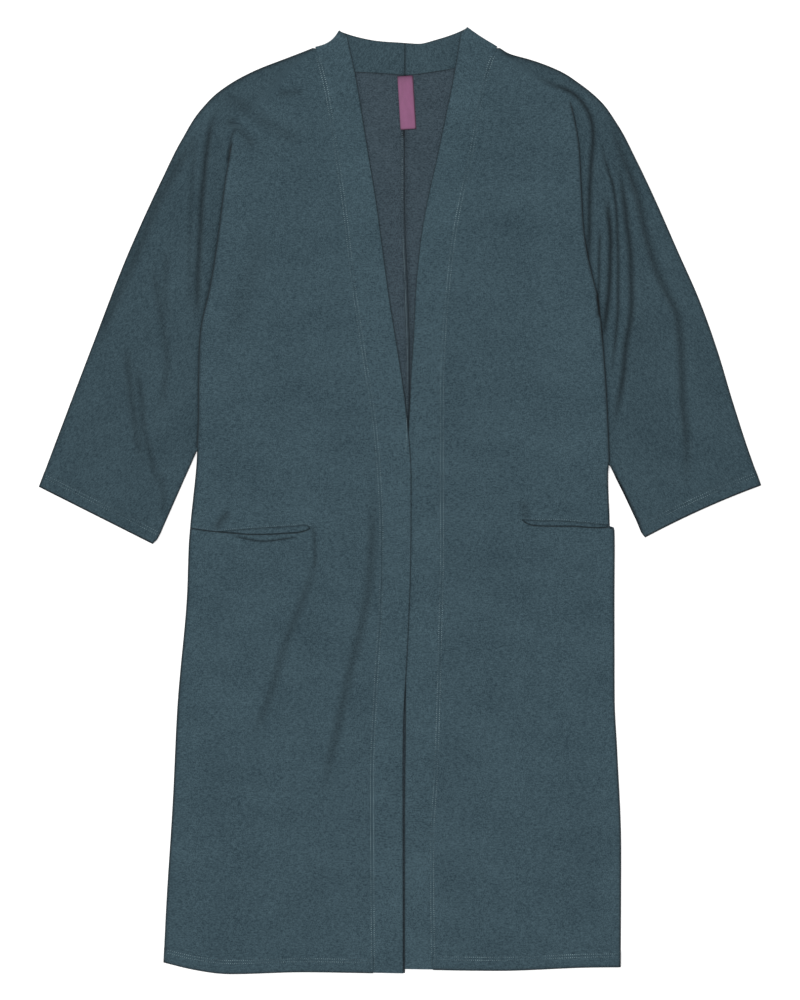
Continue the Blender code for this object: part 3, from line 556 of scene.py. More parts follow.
# %% A row above the underarm
def arm_row(side, y):
    out = side["out"]
    columns, _ = body_columns(side)
    start = follow(side["seam"], y) + out * SEAM_AIR
    end = follow(side["overarm"], y)
    angle, depth = pleat_at(side, y)
    steps = pleat_steps(angle, depth)
    top = max(side["fold"])[0]
    loose = 0.0
    fold = follow(side["fold"], y)
    if y > top:
        seam, line, arm = (follow(side[key], top) for key in ("seam", "fold", "overarm"))
        fold = start + (end - start) * (line - seam) / (arm - seam)
        loose = float(smooth((y - top) / (side["overarm"][0][0] - top) * 1.6))
    reach = min(TURN_LENGTH, TURN_LENGTH / max(angle, 1e-3) * math.sin(min(angle, math.pi / 2)))
    lip = fold - out * reach
    drop = steps[:, 1].sum()
    x = start + (lip - start) * columns
    rise = drop * (1 - smooth((np.abs(lip - x) - depth - 4 * TURN_RADIUS) / HUMP_FALL))
    turn_x = lip + out * np.cumsum(steps[:, 0])
    turn_rise = drop - np.cumsum(steps[:, 1])
    sleeve_x = turn_x[-1] + (end - turn_x[-1]) * SLEEVE_COLUMNS
    x = np.concatenate([x, turn_x, sleeve_x])
    rise = np.concatenate([rise, turn_rise, 0 * sleeve_x])
    part = np.linspace(0, 1, len(x))
    x = x + loose * (start + (end - start) * part - x)
    level = np.full(len(x), float(y))
    soft, valley = relief(side, x, level)
    closed = float(smooth(angle / math.pi))
    in_turns = (np.arange(len(x)) >= len(columns)) & (np.arange(len(x)) < len(columns) + len(turn_x))
    beside = np.where(np.arange(len(x)) < len(columns), smooth(np.abs(lip - x) / 6),
                      smooth((out * (x - fold) - 0.5) / 5) * ~in_turns)
    soft *= 1 + closed * (beside - 1)
    edge = 0.5 * (1 - smooth(np.abs(end - x) / 3.2))
    seam_dip = 0.05 * (1 - smooth(np.abs(x - start) / 3.0))
    z = FRONT_MID + rise + soft - edge - seam_dip
    turned = -out * SLEEVE_TURN * smooth((part - 0.42) / 0.2) if y > top else np.where(
        np.arange(len(x)) < len(columns), 0.0, -out * SLEEVE_TURN)
    if y > top - 60:
        straight = -out * SLEEVE_TURN * smooth((part - 0.42) / 0.2)
        hard = np.where(np.arange(len(x)) < len(columns) + TURN_STEPS, 0.0, -out * SLEEVE_TURN)
        turned = straight + (hard - straight) * float(smooth((top - y) / 60))
    lean = math.hypot(1, follow(side["overarm"], y + 1) - follow(side["overarm"], y - 1))
    # Painted shade along the overarm edge, in the creases and over the whole sleeve, and a painted shadow on the
    # sleeve just beside the pleat's fold.
    dark = EDGE_DARK * np.exp(-np.abs(end - x) / EDGE_REACH / lean) + valley
    dark += SLEEVE_SHADE * np.abs(turned) / SLEEVE_TURN
    begun = float(smooth((top - y) / 9))
    dark += begun * 0.8 * np.exp(-np.abs(out * (x - fold)) / 1.1) * (np.arange(len(x)) >= len(columns) - 1)
    return np.column_stack([x, level, z]), turned, np.clip(dark, 0, 1)


def arm_pivot(side):
    top = max(side["fold"])
    return top[1], top[0]


# %% [markdown]
# ## The body below the underarm
#
# The rows go on down the body. Where the pocket bag lies underneath, the front is lifted by a cloth's
# thickness, and at the mouth two rows part to leave the slit. The lowest rows bend to the hem's own line,
# turn round its edge and run back up inside, as a turned hem does.

# %% Rows of the body
BAG_TOP, BAG_DEPTH = 8.0, 160.0
RISE_MARGIN, RISE_FADE = 4.0, 22.0
LIP_OFFSETS = (0.0, 0.5, 1.1, 1.9, 2.9, 4.0, 5.2, 6.4, 7.6, 9.0, 10.6, 12.6, 15.5, 19.5, 24.0)
LIP_FADE = 26.0


def hem_drawn(side, x, y):
    down = smooth((HEM_DRAWS_FROM - y) / (HEM_DRAWS_FROM - HEM_Y))
    return y + down * (follow(side["hem"], x) - HEM_Y)


def bag_rise(side, part, y):
    tip, mouth = side["pocket_part"], side["mouth"]
    across = smooth((part - tip + 0.06) / 0.05)
    above = smooth((mouth + BAG_TOP + RISE_MARGIN + RISE_FADE - y) / RISE_FADE)
    below = smooth((y - (mouth - BAG_DEPTH - RISE_MARGIN - RISE_FADE)) / RISE_FADE)
    return BAG_RISE * across * above * below


def body_row(side, y, bend=None, dip=0.0):
    """A row across the body at a height; bend moves its points up or down to follow a lip of the pocket."""
    out = side["out"]
    part, _ = body_columns(side)
    start, end = follow(side["seam"], y) + out * SEAM_AIR, follow(side["side"], y)
    x = start + (end - start) * part
    level = hem_drawn(side, x, y) + (bend(x, part) if bend else 0.0)
    fade = 1 - float(smooth((underarm_y(side) - y) / UNDERARM_FALL))
    angle, depth = pleat_at(side, underarm_y(side))
    drop = pleat_steps(angle, depth)[:, 1].sum()
    hump = drop * fade * (1 - smooth((np.abs(end - x) - depth - 4 * TURN_RADIUS) / HUMP_FALL))
    soft, valley = relief(side, x, level)
    edge = 0.5 * (1 - smooth(np.abs(end - x) / 3.2)) * (1 - fade)
    seam_dip = 0.05 * (1 - smooth(np.abs(x - start) / 3.0))
    z = FRONT_MID + hump + bag_rise(side, part, level) + soft - edge - seam_dip
    lips = smooth((part - side["pocket_part"] + 0.01) / 0.05)
    return np.column_stack([x, level, z - dip * lips]), valley


def lip_bend(side, lip, weight):
    tip = side["pocket_part"]
    sign = 1 if lip == "upper_lip" else -1
    end = min(side[lip], key=lambda row: abs(row[0]))[1]

    def bend(x, part):
        inside = end - side["mouth"] + sign * 2.0 * smooth((tip - part) * 6)
        at_lip = follow(side[lip], x) - side["mouth"]
        return weight * np.where(part < tip, inside, at_lip)

    return bend


def side_dark(side, row, end=None):
    """How much painted shade the body's cloth gets close to its side edge."""
    edge = follow(side["side"], row[:, 1]) if end is None else end
    return EDGE_DARK * np.exp(-np.abs(edge - row[:, 0]) / EDGE_REACH)


def front_levels(side):
    """Heights of the body's rows clear of the pocket mouth, above it and below it."""
    top, mouth = underarm_y(side), side["mouth"]
    above = np.linspace(top, mouth + LIP_OFFSETS[-1] + 4, 30)[1:]
    foot = HEM_Y + HEM_DEPTH + 8
    below = np.linspace(mouth - LIP_OFFSETS[-1] - 4, foot, 108)
    return above, below


# %% The hem turned up inside
def hem_turn(rows, step_in, outward):
    """Rows that carry a panel's edge down over its turning, round the fold and back up inside.

    rows(inset) gives a row at that distance from the edge, and outward points off the edge at each point.
    """
    made = []
    rise = HEM_TOP_MID - FRONT_MID
    for inset in (HEM_DEPTH + 7.5, HEM_DEPTH + 5.5, HEM_DEPTH + 3.5, HEM_DEPTH + 2.4, 13, 10, 7, 4, 2, 1.0):
        row, valley = rows(inset)
        row[:, 2] += rise * float(smooth((HEM_DEPTH + 7.5 - inset) / 5.0))
        made.append((row, valley))
    radius = (HEM_TOP_MID - HEM_UNDER_MID) / 2
    for turn in (60, 30, 0, -30, -60, -90):
        row, valley = rows(0.7)
        flat = HEM_UNDER_MID + radius + radius * math.sin(math.radians(turn))
        row[:, :2] += outward * radius * math.cos(math.radians(turn))
        row[:, 2] += flat - FRONT_MID
        made.append((row, valley))
    for inset in (3, 8, step_in):
        row, valley = rows(inset)
        row[:, 2] = HEM_UNDER_MID
        made.append((row, 0 * valley))
    return made


# %% The sleeve below the underarm
def sleeve_lines(side, first, last):
    return [tuple(first), *side["underarm"]], [tuple(last), side["cuff"][0]]


def sleeve_row(side, lines, part=None, inset=0.0, hollow=0.0):
    """A row across the sleeve: part of the way to the cuff, or so far up from the cuff's edge."""
    ends = []
    for line in lines:
        whole = lengths_along(line)[-1]
        ends.append(at_length(line, (whole - HEM_DEPTH - 9) * part if part is not None else whole - inset))
    inner, outer = ends
    across = np.concatenate([[0], SLEEVE_COLUMNS])
    flat = inner + (outer - inner) * across[:, None]
    flat[:, 1] += side["cuff_hollow"] * hollow * 4 * across * (1 - across)
    soft, valley = relief(side, *flat.T)
    reach = np.hypot(*(outer - inner))
    edges = 0.5 * (1 - smooth(np.minimum(across, 1 - across) * reach / 3.2))
    return np.column_stack([flat, FRONT_MID + soft - edges]), valley


# %% A whole front
def build_front(side):
    sheet = Sheet()
    out, pivot = side["out"], arm_pivot(side)
    columns, tip = body_columns(side)
    top, foot = side["overarm"][0][0], underarm_y(side)
    heights = top - (top - foot) * np.linspace(0, 1, 158) ** 1.08
    arm = []
    for y in heights:
        row, turned, dark = arm_row(side, y)
        arm.append(sheet.row(row, CLOTH, turned, pivot, dark))
    for upper, lower in zip(arm, arm[1:]):
        sheet.join(upper, lower)

    above, below = front_levels(side)
    body = [arm[-1][:len(columns)]]

    def add(made, thick=CLOTH, dark=0.0):
        row, valley = made
        body.append(sheet.row(row, thick, dark=np.clip(side_dark(side, row) + valley + dark, 0, 1)))

    for y in above:
        add(body_row(side, y))
    # Painted shade in the pocket's mouth: a light touch on the upper lip's edge, and a dark line along the lower
    # lip where the opening lies in shade.
    slit = smooth((columns - side["pocket_part"] + 0.004) / 0.02)
    for offset in LIP_OFFSETS[::-1]:
        weight = 1 - float(smooth(offset / LIP_FADE))
        row = body_row(side, side["mouth"] + offset, lip_bend(side, "upper_lip", weight), 0.3 * (offset < 0.6))
        add(row, CLOTH if offset else CLOTH * 0.6, 0.25 * slit * (offset < 0.3))
    mouth = len(body) - 1
    for offset in LIP_OFFSETS:
        weight = 1 - float(smooth(offset / LIP_FADE))
        row = body_row(side, side["mouth"] - offset, lip_bend(side, "lower_lip", weight),
                       0.35 * (offset < 0.3) - 0.3 * math.exp(-offset / 3))
        add(row, CLOTH if offset else CLOTH * 0.6, 0.95 * slit * math.exp(-offset / 0.5))
    for y in below:
        add(body_row(side, y))
    for made in hem_turn(lambda inset: body_row(side, HEM_Y + inset), HEM_DEPTH, np.array((0.0, -1.0))):
        # Painted shade along the hem's folded edge.
        edge = follow(side["hem"], made[0][:, 0])
        add(made, CLOTH, EDGE_DARK * np.exp(-np.abs(made[0][:, 1] - edge) / EDGE_REACH))
    for i, (upper, lower) in enumerate(zip(body, body[1:])):
        sheet.join(upper, lower, tip if i == mouth else None)

    last = arm[-1][-len(SLEEVE_COLUMNS) - 1:]
    lines = sleeve_lines(side, sheet.points[last[0]][:2], sheet.points[last[-1]][:2])
    turned = -out * SLEEVE_TURN
    sleeve = [last]
    cuff = np.array(side["cuff"][1]) - np.array(side["cuff"][0])
    away = np.array((-cuff[1], cuff[0])) / np.hypot(*cuff)
    away *= -np.sign(away[1])

    def strip(made, folded=0.0):
        row, valley = made
        reach = np.minimum(*(np.hypot(*(row[:, :2] - row[end, :2]).T) for end in (0, -1)))
        # Painted shade along the sleeve's edges, over the cuff's turned edge and the rows inside it, over the
        # whole sleeve and in the creases.
        edge = EDGE_DARK * np.maximum(np.exp(-reach / EDGE_REACH), folded)
        dark = np.clip(edge + valley + SLEEVE_SHADE, 0, 1)
        sleeve.append(sheet.row(row, CLOTH, turned, pivot, dark))

    for part in np.linspace(0, 1, 40)[1:]:
        strip(sleeve_row(side, lines, part=part, hollow=part * part))
    cuff_rows = hem_turn(lambda inset: sleeve_row(side, lines, inset=inset, hollow=1.0), HEM_DEPTH, away)
    for i, row in enumerate(cuff_rows):
        strip(row, 1.0 if i >= 10 else (0.5 if i == 9 else 0.0))
    for upper, lower in zip(sleeve, sleeve[1:]):
        sheet.join(upper, lower)
    return sheet


fronts = {}
for side in (RIGHT, LEFT):
    name = side["name"]
    fronts[name] = sheet_object(
        f"front_cloth_{name}", build_front(side), f"front_and_sleeve_{name}", knit_front,
        0.33)

# %% [markdown]
# ## A back with its sleeve
#
# The backs lie under everything and show only inside the neck and along the edges. Their underside rests
# flat on the table, so the wall is built upwards from it.

# %% Rows of the back
def back_part(start, end, count):
    part = np.linspace(0, 1, count)
    return np.concatenate([start + (end - start) * np.array([0.0, 0.004]), (start + (end - start) * part)[1:]])


NECK_TUCK = 0.5


def build_back(side):
    sheet = Sheet()
    out, pivot = side["out"], arm_pivot(side)
    neck = [(y, x) for x, y in side["back_neck"]] + [(side["overarm"][0][0], side["neck"][0])]
    low = neck[0][0]
    neckline = np.array(sorted([*side["back_neck"], side["neck"]]), float)
    top, foot = side["overarm"][0][0], underarm_y(side)
    heights = np.concatenate([np.linspace(top, low + 6, 9), low + np.array([4.5, 3.4, 2.4, 1.6, 0.9, 0.4, 0.0]),
                              np.linspace(low - 2, foot, 70)])
    body_count, sleeve_count = 34, 24

    def row(y, thick=BACK_WALL):
        start = follow(CENTRE_BACK, y)
        if y > low + NECK_TUCK:
            start = np.interp(y - NECK_TUCK, *np.array(sorted(neck)).T)
        start += out * SEAM_AIR / 2
        end = follow(side["side"], y) if y < foot else follow(side["fold"], min(y, max(side["fold"])[0]))
        x = back_part(start, end, body_count)
        dip = 1 - 0.35 * (1 - smooth(np.abs(x - start) / 2.5))
        if y < foot:
            dip *= 1 - 0.4 * (1 - smooth(np.abs(x - end) / 3))
        return x, thick * dip

    def add(x, y, thick, turned=0.0):
        # Painted shade in the centre-back seam below the neck and along the neckline, where the band meets the
        # back.
        seam = 0.95 * np.exp(-np.abs(x - x[0]) / 0.8) * float(smooth((low - np.mean(y) + 1) / 2))
        shade = seam + 0.8 * np.exp(-np.abs(np.interp(x, *neckline.T) - y) / 0.9)
        row = np.column_stack([x, np.broadcast_to(y, len(x)), np.zeros(len(x))])
        return sheet.row(row, thick, turned, pivot, np.minimum(shade, 0.9))

    made = []
    for y in heights:
        arm_end = follow(side["overarm"], y)
        inner, thick = row(y)
        if y > max(side["fold"])[0]:
            start = inner[0]
            x = np.interp(np.linspace(0, 1, len(inner) + sleeve_count), np.linspace(0, 1, 60),
                          np.linspace(start, arm_end, 60))
        else:
            x = np.concatenate([inner, np.linspace(inner[-1], arm_end, sleeve_count + 1)[1:]])
        edge = 1 - 0.45 * (1 - smooth(np.abs(x - arm_end) / 3))
        seam = 1 - 0.35 * (1 - smooth(np.abs(x - x[0]) / 2.5))
        turned = -out * SLEEVE_TURN * smooth((np.arange(len(x)) - len(inner)) / 4)
        made.append(add(x, y, BACK_WALL * edge * seam, turned))
    for upper, lower in zip(made, made[1:]):
        sheet.join(upper, lower)
    inner_count = len(row(0)[0])
    body = [made[-1][:inner_count]]
    levels = sorted([*np.linspace(foot - 6, HEM_Y + HEM_DEPTH + 6, 60), -29.6, -31.6, -32.6, -34])[::-1]
    levels += [HEM_Y + HEM_DEPTH + 3, HEM_Y + HEM_DEPTH, HEM_Y + 8, HEM_Y + 3, HEM_Y + 1, HEM_Y]
    for y in levels:
        x, thick = row(y)
        hem = 1 + (HEM_CLOTH / BACK_WALL - 1) * float(smooth((HEM_Y + HEM_DEPTH + 3 - y) / 3))
        if y < HEM_Y + 2:
            hem *= 0.55 if y > HEM_Y else 0.3
        body.append(add(x, hem_drawn(side, x, y), thick * hem))
    for upper, lower in zip(body, body[1:]):
        sheet.join(upper, lower)
    last = made[-1][inner_count - 1:]
    lines = sleeve_lines(side, sheet.points[last[0]][:2], sheet.points[last[-1]][:2])
    sleeve = [last]
    insets = [14.5, 8, 3, 1, 0]
    for step in [*np.linspace(0, 1, 16)[1:], *insets]:
        at_hem = len(sleeve) > 15
        ends = [at_length(line, lengths_along(line)[-1] - step if at_hem
                          else (lengths_along(line)[-1] - 18) * step) for line in lines]
        across = np.linspace(0, 1, sleeve_count + 1)
        flat = ends[0] + (ends[1] - ends[0]) * across[:, None]
        flat[:, 1] += side["cuff_hollow"] * (1.0 if at_hem else step * step) * 4 * across * (1 - across)
        thick = BACK_WALL * (HEM_CLOTH / BACK_WALL if at_hem else 1) * (1 if not at_hem or step > 1 else 0.4)
        edge = 1 - 0.45 * (1 - smooth(np.minimum(across, 1 - across) * 150 / 3))
        sleeve.append(sheet.row(np.column_stack([flat, np.zeros(len(flat))]), thick * edge,
                                -out * SLEEVE_TURN, pivot))
    for upper, lower in zip(sleeve, sleeve[1:]):
        sheet.join(upper, lower)
    return sheet


backs = {}
for side in (RIGHT, LEFT):
    name = side["name"]
    backs[name] = sheet_object(
        f"back_cloth_{name}", build_back(side), f"back_and_sleeve_{name}", knit_back,
        0.35, offset=1.0)

# %% [markdown]
# ## The band
#
# The band is double cloth. It starts at the centre-back join, lies behind the neck, turns over the
# shoulder and runs down the front to the hem. Its thickness is drawn in at both edges: the front edge is a
# fold, so it is round, and the seam edge sinks into the seam.

# %% Rows of the band
SEAM_SUNK = 0.42
LAP_RISE = BAND_CLOTH + AIR
LAP_TOP, LAP_TOP_FADE = 104.0, 80.0
LAP_FOOT, LAP_FOOT_FADE = -222.0, 42.0
BACK_BAND_MID = BAND_CLOTH / 2
NECK_RISE = BACK_BAND_MID + BAND_CLOTH + AIR - BAND_MID
NECK_FOOT, NECK_FADE = 524.0, 20.0


def band_parts(width):
    ends = np.array([0, 0.25, 0.7, 1.4, 2.4])
    return np.concatenate([ends / width, np.linspace(4 / width, 1 - 3.2 / width, 10),
                           1 - np.array([2.2, 1.4, 0.8, 0.35, 0.0]) / width])


def band_thickness(width):
    part = band_parts(width)
    from_seam, from_edge = part * width, (1 - part) * width
    fold = np.sqrt(np.clip(1 - (1 - np.clip(from_edge / (BAND_CLOTH / 2), 0, 1)) ** 2, 0, 1))
    return BAND_CLOTH * np.maximum(fold, 0.12) * (0.62 + 0.38 * smooth(from_seam / 7.0))


def band_row(seam, edge, level, hollow=(0.0, 0.0)):
    seam, edge, hollow = (np.array(point, float) for point in (seam, edge, hollow))
    width = np.hypot(*(edge - seam))
    part = band_parts(width)
    flat = seam + (edge - seam) * part[:, None] + hollow * (4 * part * (1 - part))[:, None]
    sunk = SEAM_SUNK * (1 - smooth(part * width / 7.0))
    return np.column_stack([flat, level(part, flat[:, 1]) - sunk + 0.35 * waves(flat[:, 0] * 2, flat[:, 1])])


def lap_rise(side, part, y):
    if side["out"] > 0:
        return 0.0 * part
    over = smooth((LAP_TOP + LAP_TOP_FADE - y) / LAP_TOP_FADE)
    under = smooth((y - LAP_FOOT + LAP_FOOT_FADE) / LAP_FOOT_FADE)
    return LAP_RISE * over * under * smooth((part - 0.3) / 0.42)


BACK_BAND_SHADE = 0.14


def build_band(side):
    out = side["out"]
    sheet = Sheet()
    rows, lengths = [], []
    seam_line = np.array([*side["back_neck"], side["neck"]], float)
    top_line = np.array([*side["band_top"], side["tip"]], float)
    seam_line[0, 0] += out * SEAM_AIR / 2
    top_line[0, 0] += out * SEAM_AIR / 2
    seam_line, top_line = curve_through(seam_line, 40), curve_through(top_line, 40)
    for part in np.concatenate([[0, 0.008, 0.018], np.linspace(0.04, 1, 24)[:-1]]):
        seam = at_length(seam_line, lengths_along(seam_line)[-1] * part)
        edge = at_length(top_line, lengths_along(top_line)[-1] * part)
        rows.append(band_row(seam, edge, lambda _part, y: BACK_BAND_MID + 0 * y))
    neck, tip = np.array(side["neck"]), np.array(side["tip"])
    across = (tip - neck) / np.hypot(*(tip - neck))
    away = np.array((out * abs(across[1]), abs(across[0])))
    hollow = -away * side["neck_hollow"]
    radius = (BAND_CLOTH + AIR) / 2
    for turn in np.linspace(-90, 90, 9):
        shift = away * radius * math.cos(math.radians(turn))
        height = BACK_BAND_MID + radius + radius * math.sin(math.radians(turn))
        rows.append(band_row(neck + shift, tip + shift, lambda _part, y: height + 0 * y, hollow))
    tilt = tip[1] - neck[1]
    heights = np.concatenate([np.linspace(neck[1] - 3, 430, 34), np.linspace(427, HEM_Y + 22, 220),
                              HEM_Y + np.array([19, 16, 13, 9, 5, 2.5, 1.2, 0.5, 0.0])])
    for y in heights:
        lift = tilt * float(smooth((y - 430) / (neck[1] - 430)))
        seam_x, edge_x = follow(side["seam"], y), follow(side["edge"], y + lift)
        seam = (seam_x, hem_drawn(side, seam_x, y))
        edge = (edge_x, hem_drawn(side, edge_x, y + lift))
        bend = -away * side["neck_hollow"] * float(smooth((y - 500) / (neck[1] - 500)))
        hem = 1.1 * float(smooth((HEM_Y + 20 - y) / 4))

        def level(part, at):
            neck_rise = NECK_RISE * smooth((at - NECK_FOOT + NECK_FADE) / NECK_FADE)
            return BAND_MID + neck_rise + hem + lap_rise(side, part, at)

        rows.append(band_row(seam, edge, level, bend))
    for i, row in enumerate(rows):
        width = np.hypot(*(row[-1] - row[0])[:2])
        thick = band_thickness(width)
        if i >= len(rows) - 3:
            thick = thick * (0.9, 0.65, 0.35)[i - len(rows)]
        middle = row[:, :2].mean(axis=0)
        lengths.append(middle)
        rows[i] = (row, thick)
    run = lengths_along(lengths)
    behind = run[30]
    made = []
    for (row, thick), along in zip(rows, run):
        indices = sheet.row(row, thick)
        width = np.hypot(*(row[-1] - row[0])[:2])
        for index, part in zip(indices, band_parts(width)):
            sheet.grain[index] = (part * width + 300 * (out > 0), -along)
            # Painted shade along the folded front edge; behind the neck also along the seam edge, at the
            # centre-back join and, by BACK_BAND_SHADE, over the whole inner side of the band.
            shade = EDGE_DARK * math.exp(-(1 - part) * width / 0.7)
            if along < behind:
                shade += 0.5 * math.exp(-part * width / 0.5) + 0.95 * math.exp(-along / 0.7)
                shade += BACK_BAND_SHADE
            sheet.dark[index] = min(1.0, shade)
        made.append(indices)
    for upper, lower in zip(made, made[1:]):
        sheet.join(upper, lower)
    return sheet


bands = {}
for side in (RIGHT, LEFT):
    name = side["name"]
    bands[name] = sheet_object(f"band_cloth_{name}", build_band(side), f"neck_band_{name}", knit_band,
                               0.0505)

# %% [markdown]
# ## The pocket bags
#
# Each bag hangs inside from the mouth. Its back layer is joined to the front's upper edge, so it fills the
# slit and slips behind the lower lip, which is where the dark line of the opening comes from; that line is
# also painted shade on the bag, darkest just before the lower lip, with a fainter painted shade under the
# upper lip.

# %% Bags
def build_bag(side):
    sheet = Sheet()
    tip, mouth = side["pocket_part"], side["mouth"]
    rows = []
    slit = [-6, -3.5, -1.5, *np.arange(0, 15, 0.75), 16, 18, 20.5, 23, *np.linspace(26, BAG_DEPTH - 30, 24)]
    for depth in [*slit, *(BAG_DEPTH - 24 * (1 - np.sin(np.linspace(0.1, 1, 9) * math.pi / 2)))]:
        y = mouth - depth
        out = side["out"]
        into = max(0.0, depth - (BAG_DEPTH - 24)) / 24
        first = tip - 0.01 + 0.1 * (1 - math.sqrt(max(0.0, 1 - into * into)))
        part = np.linspace(first, 0.985, 64)
        start, end = follow(side["seam"], y) + out * AIR / 2, follow(side["side"], y)
        x = start + (end - start) * part
        shape = smooth((depth + 6) / 5) * (1 - smooth(depth / 26))
        level = y + shape * (follow(side["upper_lip"], x) - mouth)
        before_lip = level - follow(side["lower_lip"], x)
        rise = 1.3 * smooth((depth + 1.6) / 1.8) * smooth((before_lip - 0.3) / 1.8)
        rise *= smooth((part - first) / 0.03) * smooth((1 - part) / 0.08)
        # Painted shade on the bag: dark just before the lower lip, fainter just under the upper lip.
        behind_lip = np.maximum(follow(side["upper_lip"], x) - level, 0)
        dark = np.maximum(0.95 * (1 - smooth((before_lip - 0.3) / 1.7)), 0.7 * np.exp(-behind_lip / 0.9))
        rows.append(sheet.row(np.column_stack([x, level, FRONT_MID + rise]), 1.2, dark=dark))
    for upper, lower in zip(rows, rows[1:]):
        sheet.join(upper, lower)
    return sheet


bags = {}
for side in (RIGHT, LEFT):
    name = side["name"]
    size = (0.157, 0.168) if side is RIGHT else (0.112, 0.168)
    bags[name] = sheet_object(f"bag_cloth_{name}", build_bag(side), f"pocket_bag_{name}", knit_front,
                              0.93 * size[0] * size[1])

# %% [markdown]
# ## The loop label
#
# A satin ribbon, folded and caught in the back neck seam: the lower leaf lies on the backs and the upper
# one comes back over it. Satin is smooth one way and finely ribbed the other, which a bump of narrow lines
# gives.

# %% Satin and the label
LABEL_WIDTH, LABEL_LENGTH = 18.6, 65.6


def satin_material(name, colour, shade):
    material, tree, shader = blank_material(name)
    uv = node(tree, "ShaderNodeUVMap", {"uv_map": "courses"})
    split = tree.nodes.new("ShaderNodeSeparateXYZ")
    tree.links.new(uv.socket, split.inputs[0])
    u, v = Signal(tree, split.outputs[0]), Signal(tree, split.outputs[1])
    patches = stretched_noise(tree, u, v, 160.0, 60.0, 2.0)
    ribs = (v * (2 * math.pi / 0.00045)).sine()
    # Lighter towards both long edges: a painted highlight where the satin turns; the patches are its own uneven
    # tone.
    edge = abs(u) * (2 / (LABEL_WIDTH * MM))
    wear_and_highlight = edge ** 8.0
    colours = mixed(tree, patches * 0.8 + wear_and_highlight * 0.35, shade, colour)
    # Painted shade from the sheet's attribute: darker at the top, the foot and the sides.
    crevice = node(tree, "ShaderNodeAttribute", {"attribute_name": "crevice"}, None, output=2)
    painted_shade_colour = tuple(channel * 0.2 for channel in shade[:3]) + (1,)
    tree.links.new(mixed(tree, crevice, colours, painted_shade_colour).socket, shader.inputs["Base Color"])
    bump = node(tree, "ShaderNodeBump", None, {"Strength": 0.3, "Distance": 0.06 * MM, "Height": ribs + patches})
    tree.links.new(bump.socket, shader.inputs["Normal"])
    tree.links.new((0.42 + patches * 0.16).socket, shader.inputs["Roughness"])
    shader.inputs["Specular IOR Level"].default_value = 0.3
    shader.inputs["Anisotropic"].default_value = 0.5
    return material


def build_label():
    sheet = Sheet()
    top, slant = np.array((5.9, 518.0)), math.radians(3.4)
    down = np.array((math.sin(slant), -math.cos(slant)))
    over = np.array((math.cos(slant), math.sin(slant)))
    lower, upper, turn = 1.72, 2.62, 0.45
    path = [(s, lower) for s in np.linspace(0.4, LABEL_LENGTH - turn, 18)]
    path += [(LABEL_LENGTH - turn + turn * math.sin(a), lower + turn - turn * math.cos(a))
             for a in np.linspace(0, math.pi, 8)[1:-1]]
    path += [(s, upper + 0.55 * math.sin(math.pi * s / LABEL_LENGTH) ** 0.8) for s in
             np.linspace(LABEL_LENGTH - turn, 0.4, 40)]
    rows, run = [], 0.0
    width = np.sin(np.linspace(-0.5, 0.5, 19) * math.pi) / 2 * LABEL_WIDTH
    for i, (s, height) in enumerate(path):
        run += math.hypot(s - path[i - 1][0], height - path[i - 1][1]) if i else 0
        flat = top + down * s + over * width[:, None]
        # The lower leaf is set out 0.9 mm across and 0.8 mm down and painted dark, a painted shadow along one
        # long side and the foot.
        if height == lower:
            flat = flat + over * 0.9 + down * 0.8
        bow = 0.12 * np.cos(width / LABEL_WIDTH * math.pi * 2) * (height > 2.5)
        # Painted shade at the top where it meets the neck seam, at the folded foot and along both sides.
        shade = 0.8 * math.exp(-s / 3.4) + 0.9 * math.exp(-(LABEL_LENGTH - s) / 0.7)
        sides = 0.9 * np.exp(-(LABEL_WIDTH / 2 - np.abs(width)) / 0.7) + 0.9 * (height == lower)
        rows.append(sheet.row(np.column_stack([flat, height + bow]), 0.28, dark=np.minimum(shade + sides, 0.9)))
        for index, across in zip(rows[-1], width):
            sheet.grain[index] = (across, run)
    for first, second in zip(rows, rows[1:]):
        sheet.join(first, second)
    return sheet


satin = satin_material("label satin", (0.274, 0.097, 0.205, 1), (0.186, 0.059, 0.135, 1))
label = sheet_object("label_ribbon", build_label(), "label", satin,
                     0.00247)

# %% [markdown]
# ## Stitches
#
# Twin-needle rows hold the hems, the cuffs and the band's seam, and a single row runs beside the
# centre-back seam and above each pocket. One stitch is modelled, a small bead of thread, and laid down
# again every two and a half millimetres along each row, which is the pitch measured in the picture, on
# whatever cloth is uppermost there. A ray dropped from above finds that height and the way the cloth
# leans.

# %% One stitch
STITCH_PITCH, STITCH_LENGTH, STITCH_WIDE = 2.56, 1.3, 0.8
TWIN = 3.6

bpy.ops.object.select_all(action="DESELECT")
bpy.ops.mesh.primitive_uv_sphere_add(segments=8, ring_count=5, radius=0.5, location=(0, 0, 0))
bead = bpy.context.object
bead.rotation_euler = (math.pi / 2, 0, 0)
bead.scale = (STITCH_WIDE, STITCH_WIDE * 0.8, STITCH_LENGTH)
bpy.ops.object.transform_apply(location=True, rotation=True, scale=True)
bead_points = np.array([v.co for v in bead.data.vertices])
bead_faces = [tuple(p.vertices) for p in bead.data.polygons]
bead_points[:, 2] -= 0.3 * np.clip(np.abs(bead_points[:, 1]) / (STITCH_LENGTH / 2), 0, 1) ** 3
bpy.data.objects.remove(bead, do_unlink=True)
print("one stitch:", len(bead_faces), "faces,", STITCH_LENGTH, "mm long")


# %% Finding the cloth under a row of stitches
def cloth_tree(objects):
    points, faces = [], []
    for obj in objects:
        base = len(points)
        points += [v.co.copy() for v in obj.data.vertices]
        faces += [tuple(base + i for i in p.vertices) for p in obj.data.polygons]
    return BVHTree.FromPolygons(points, faces)


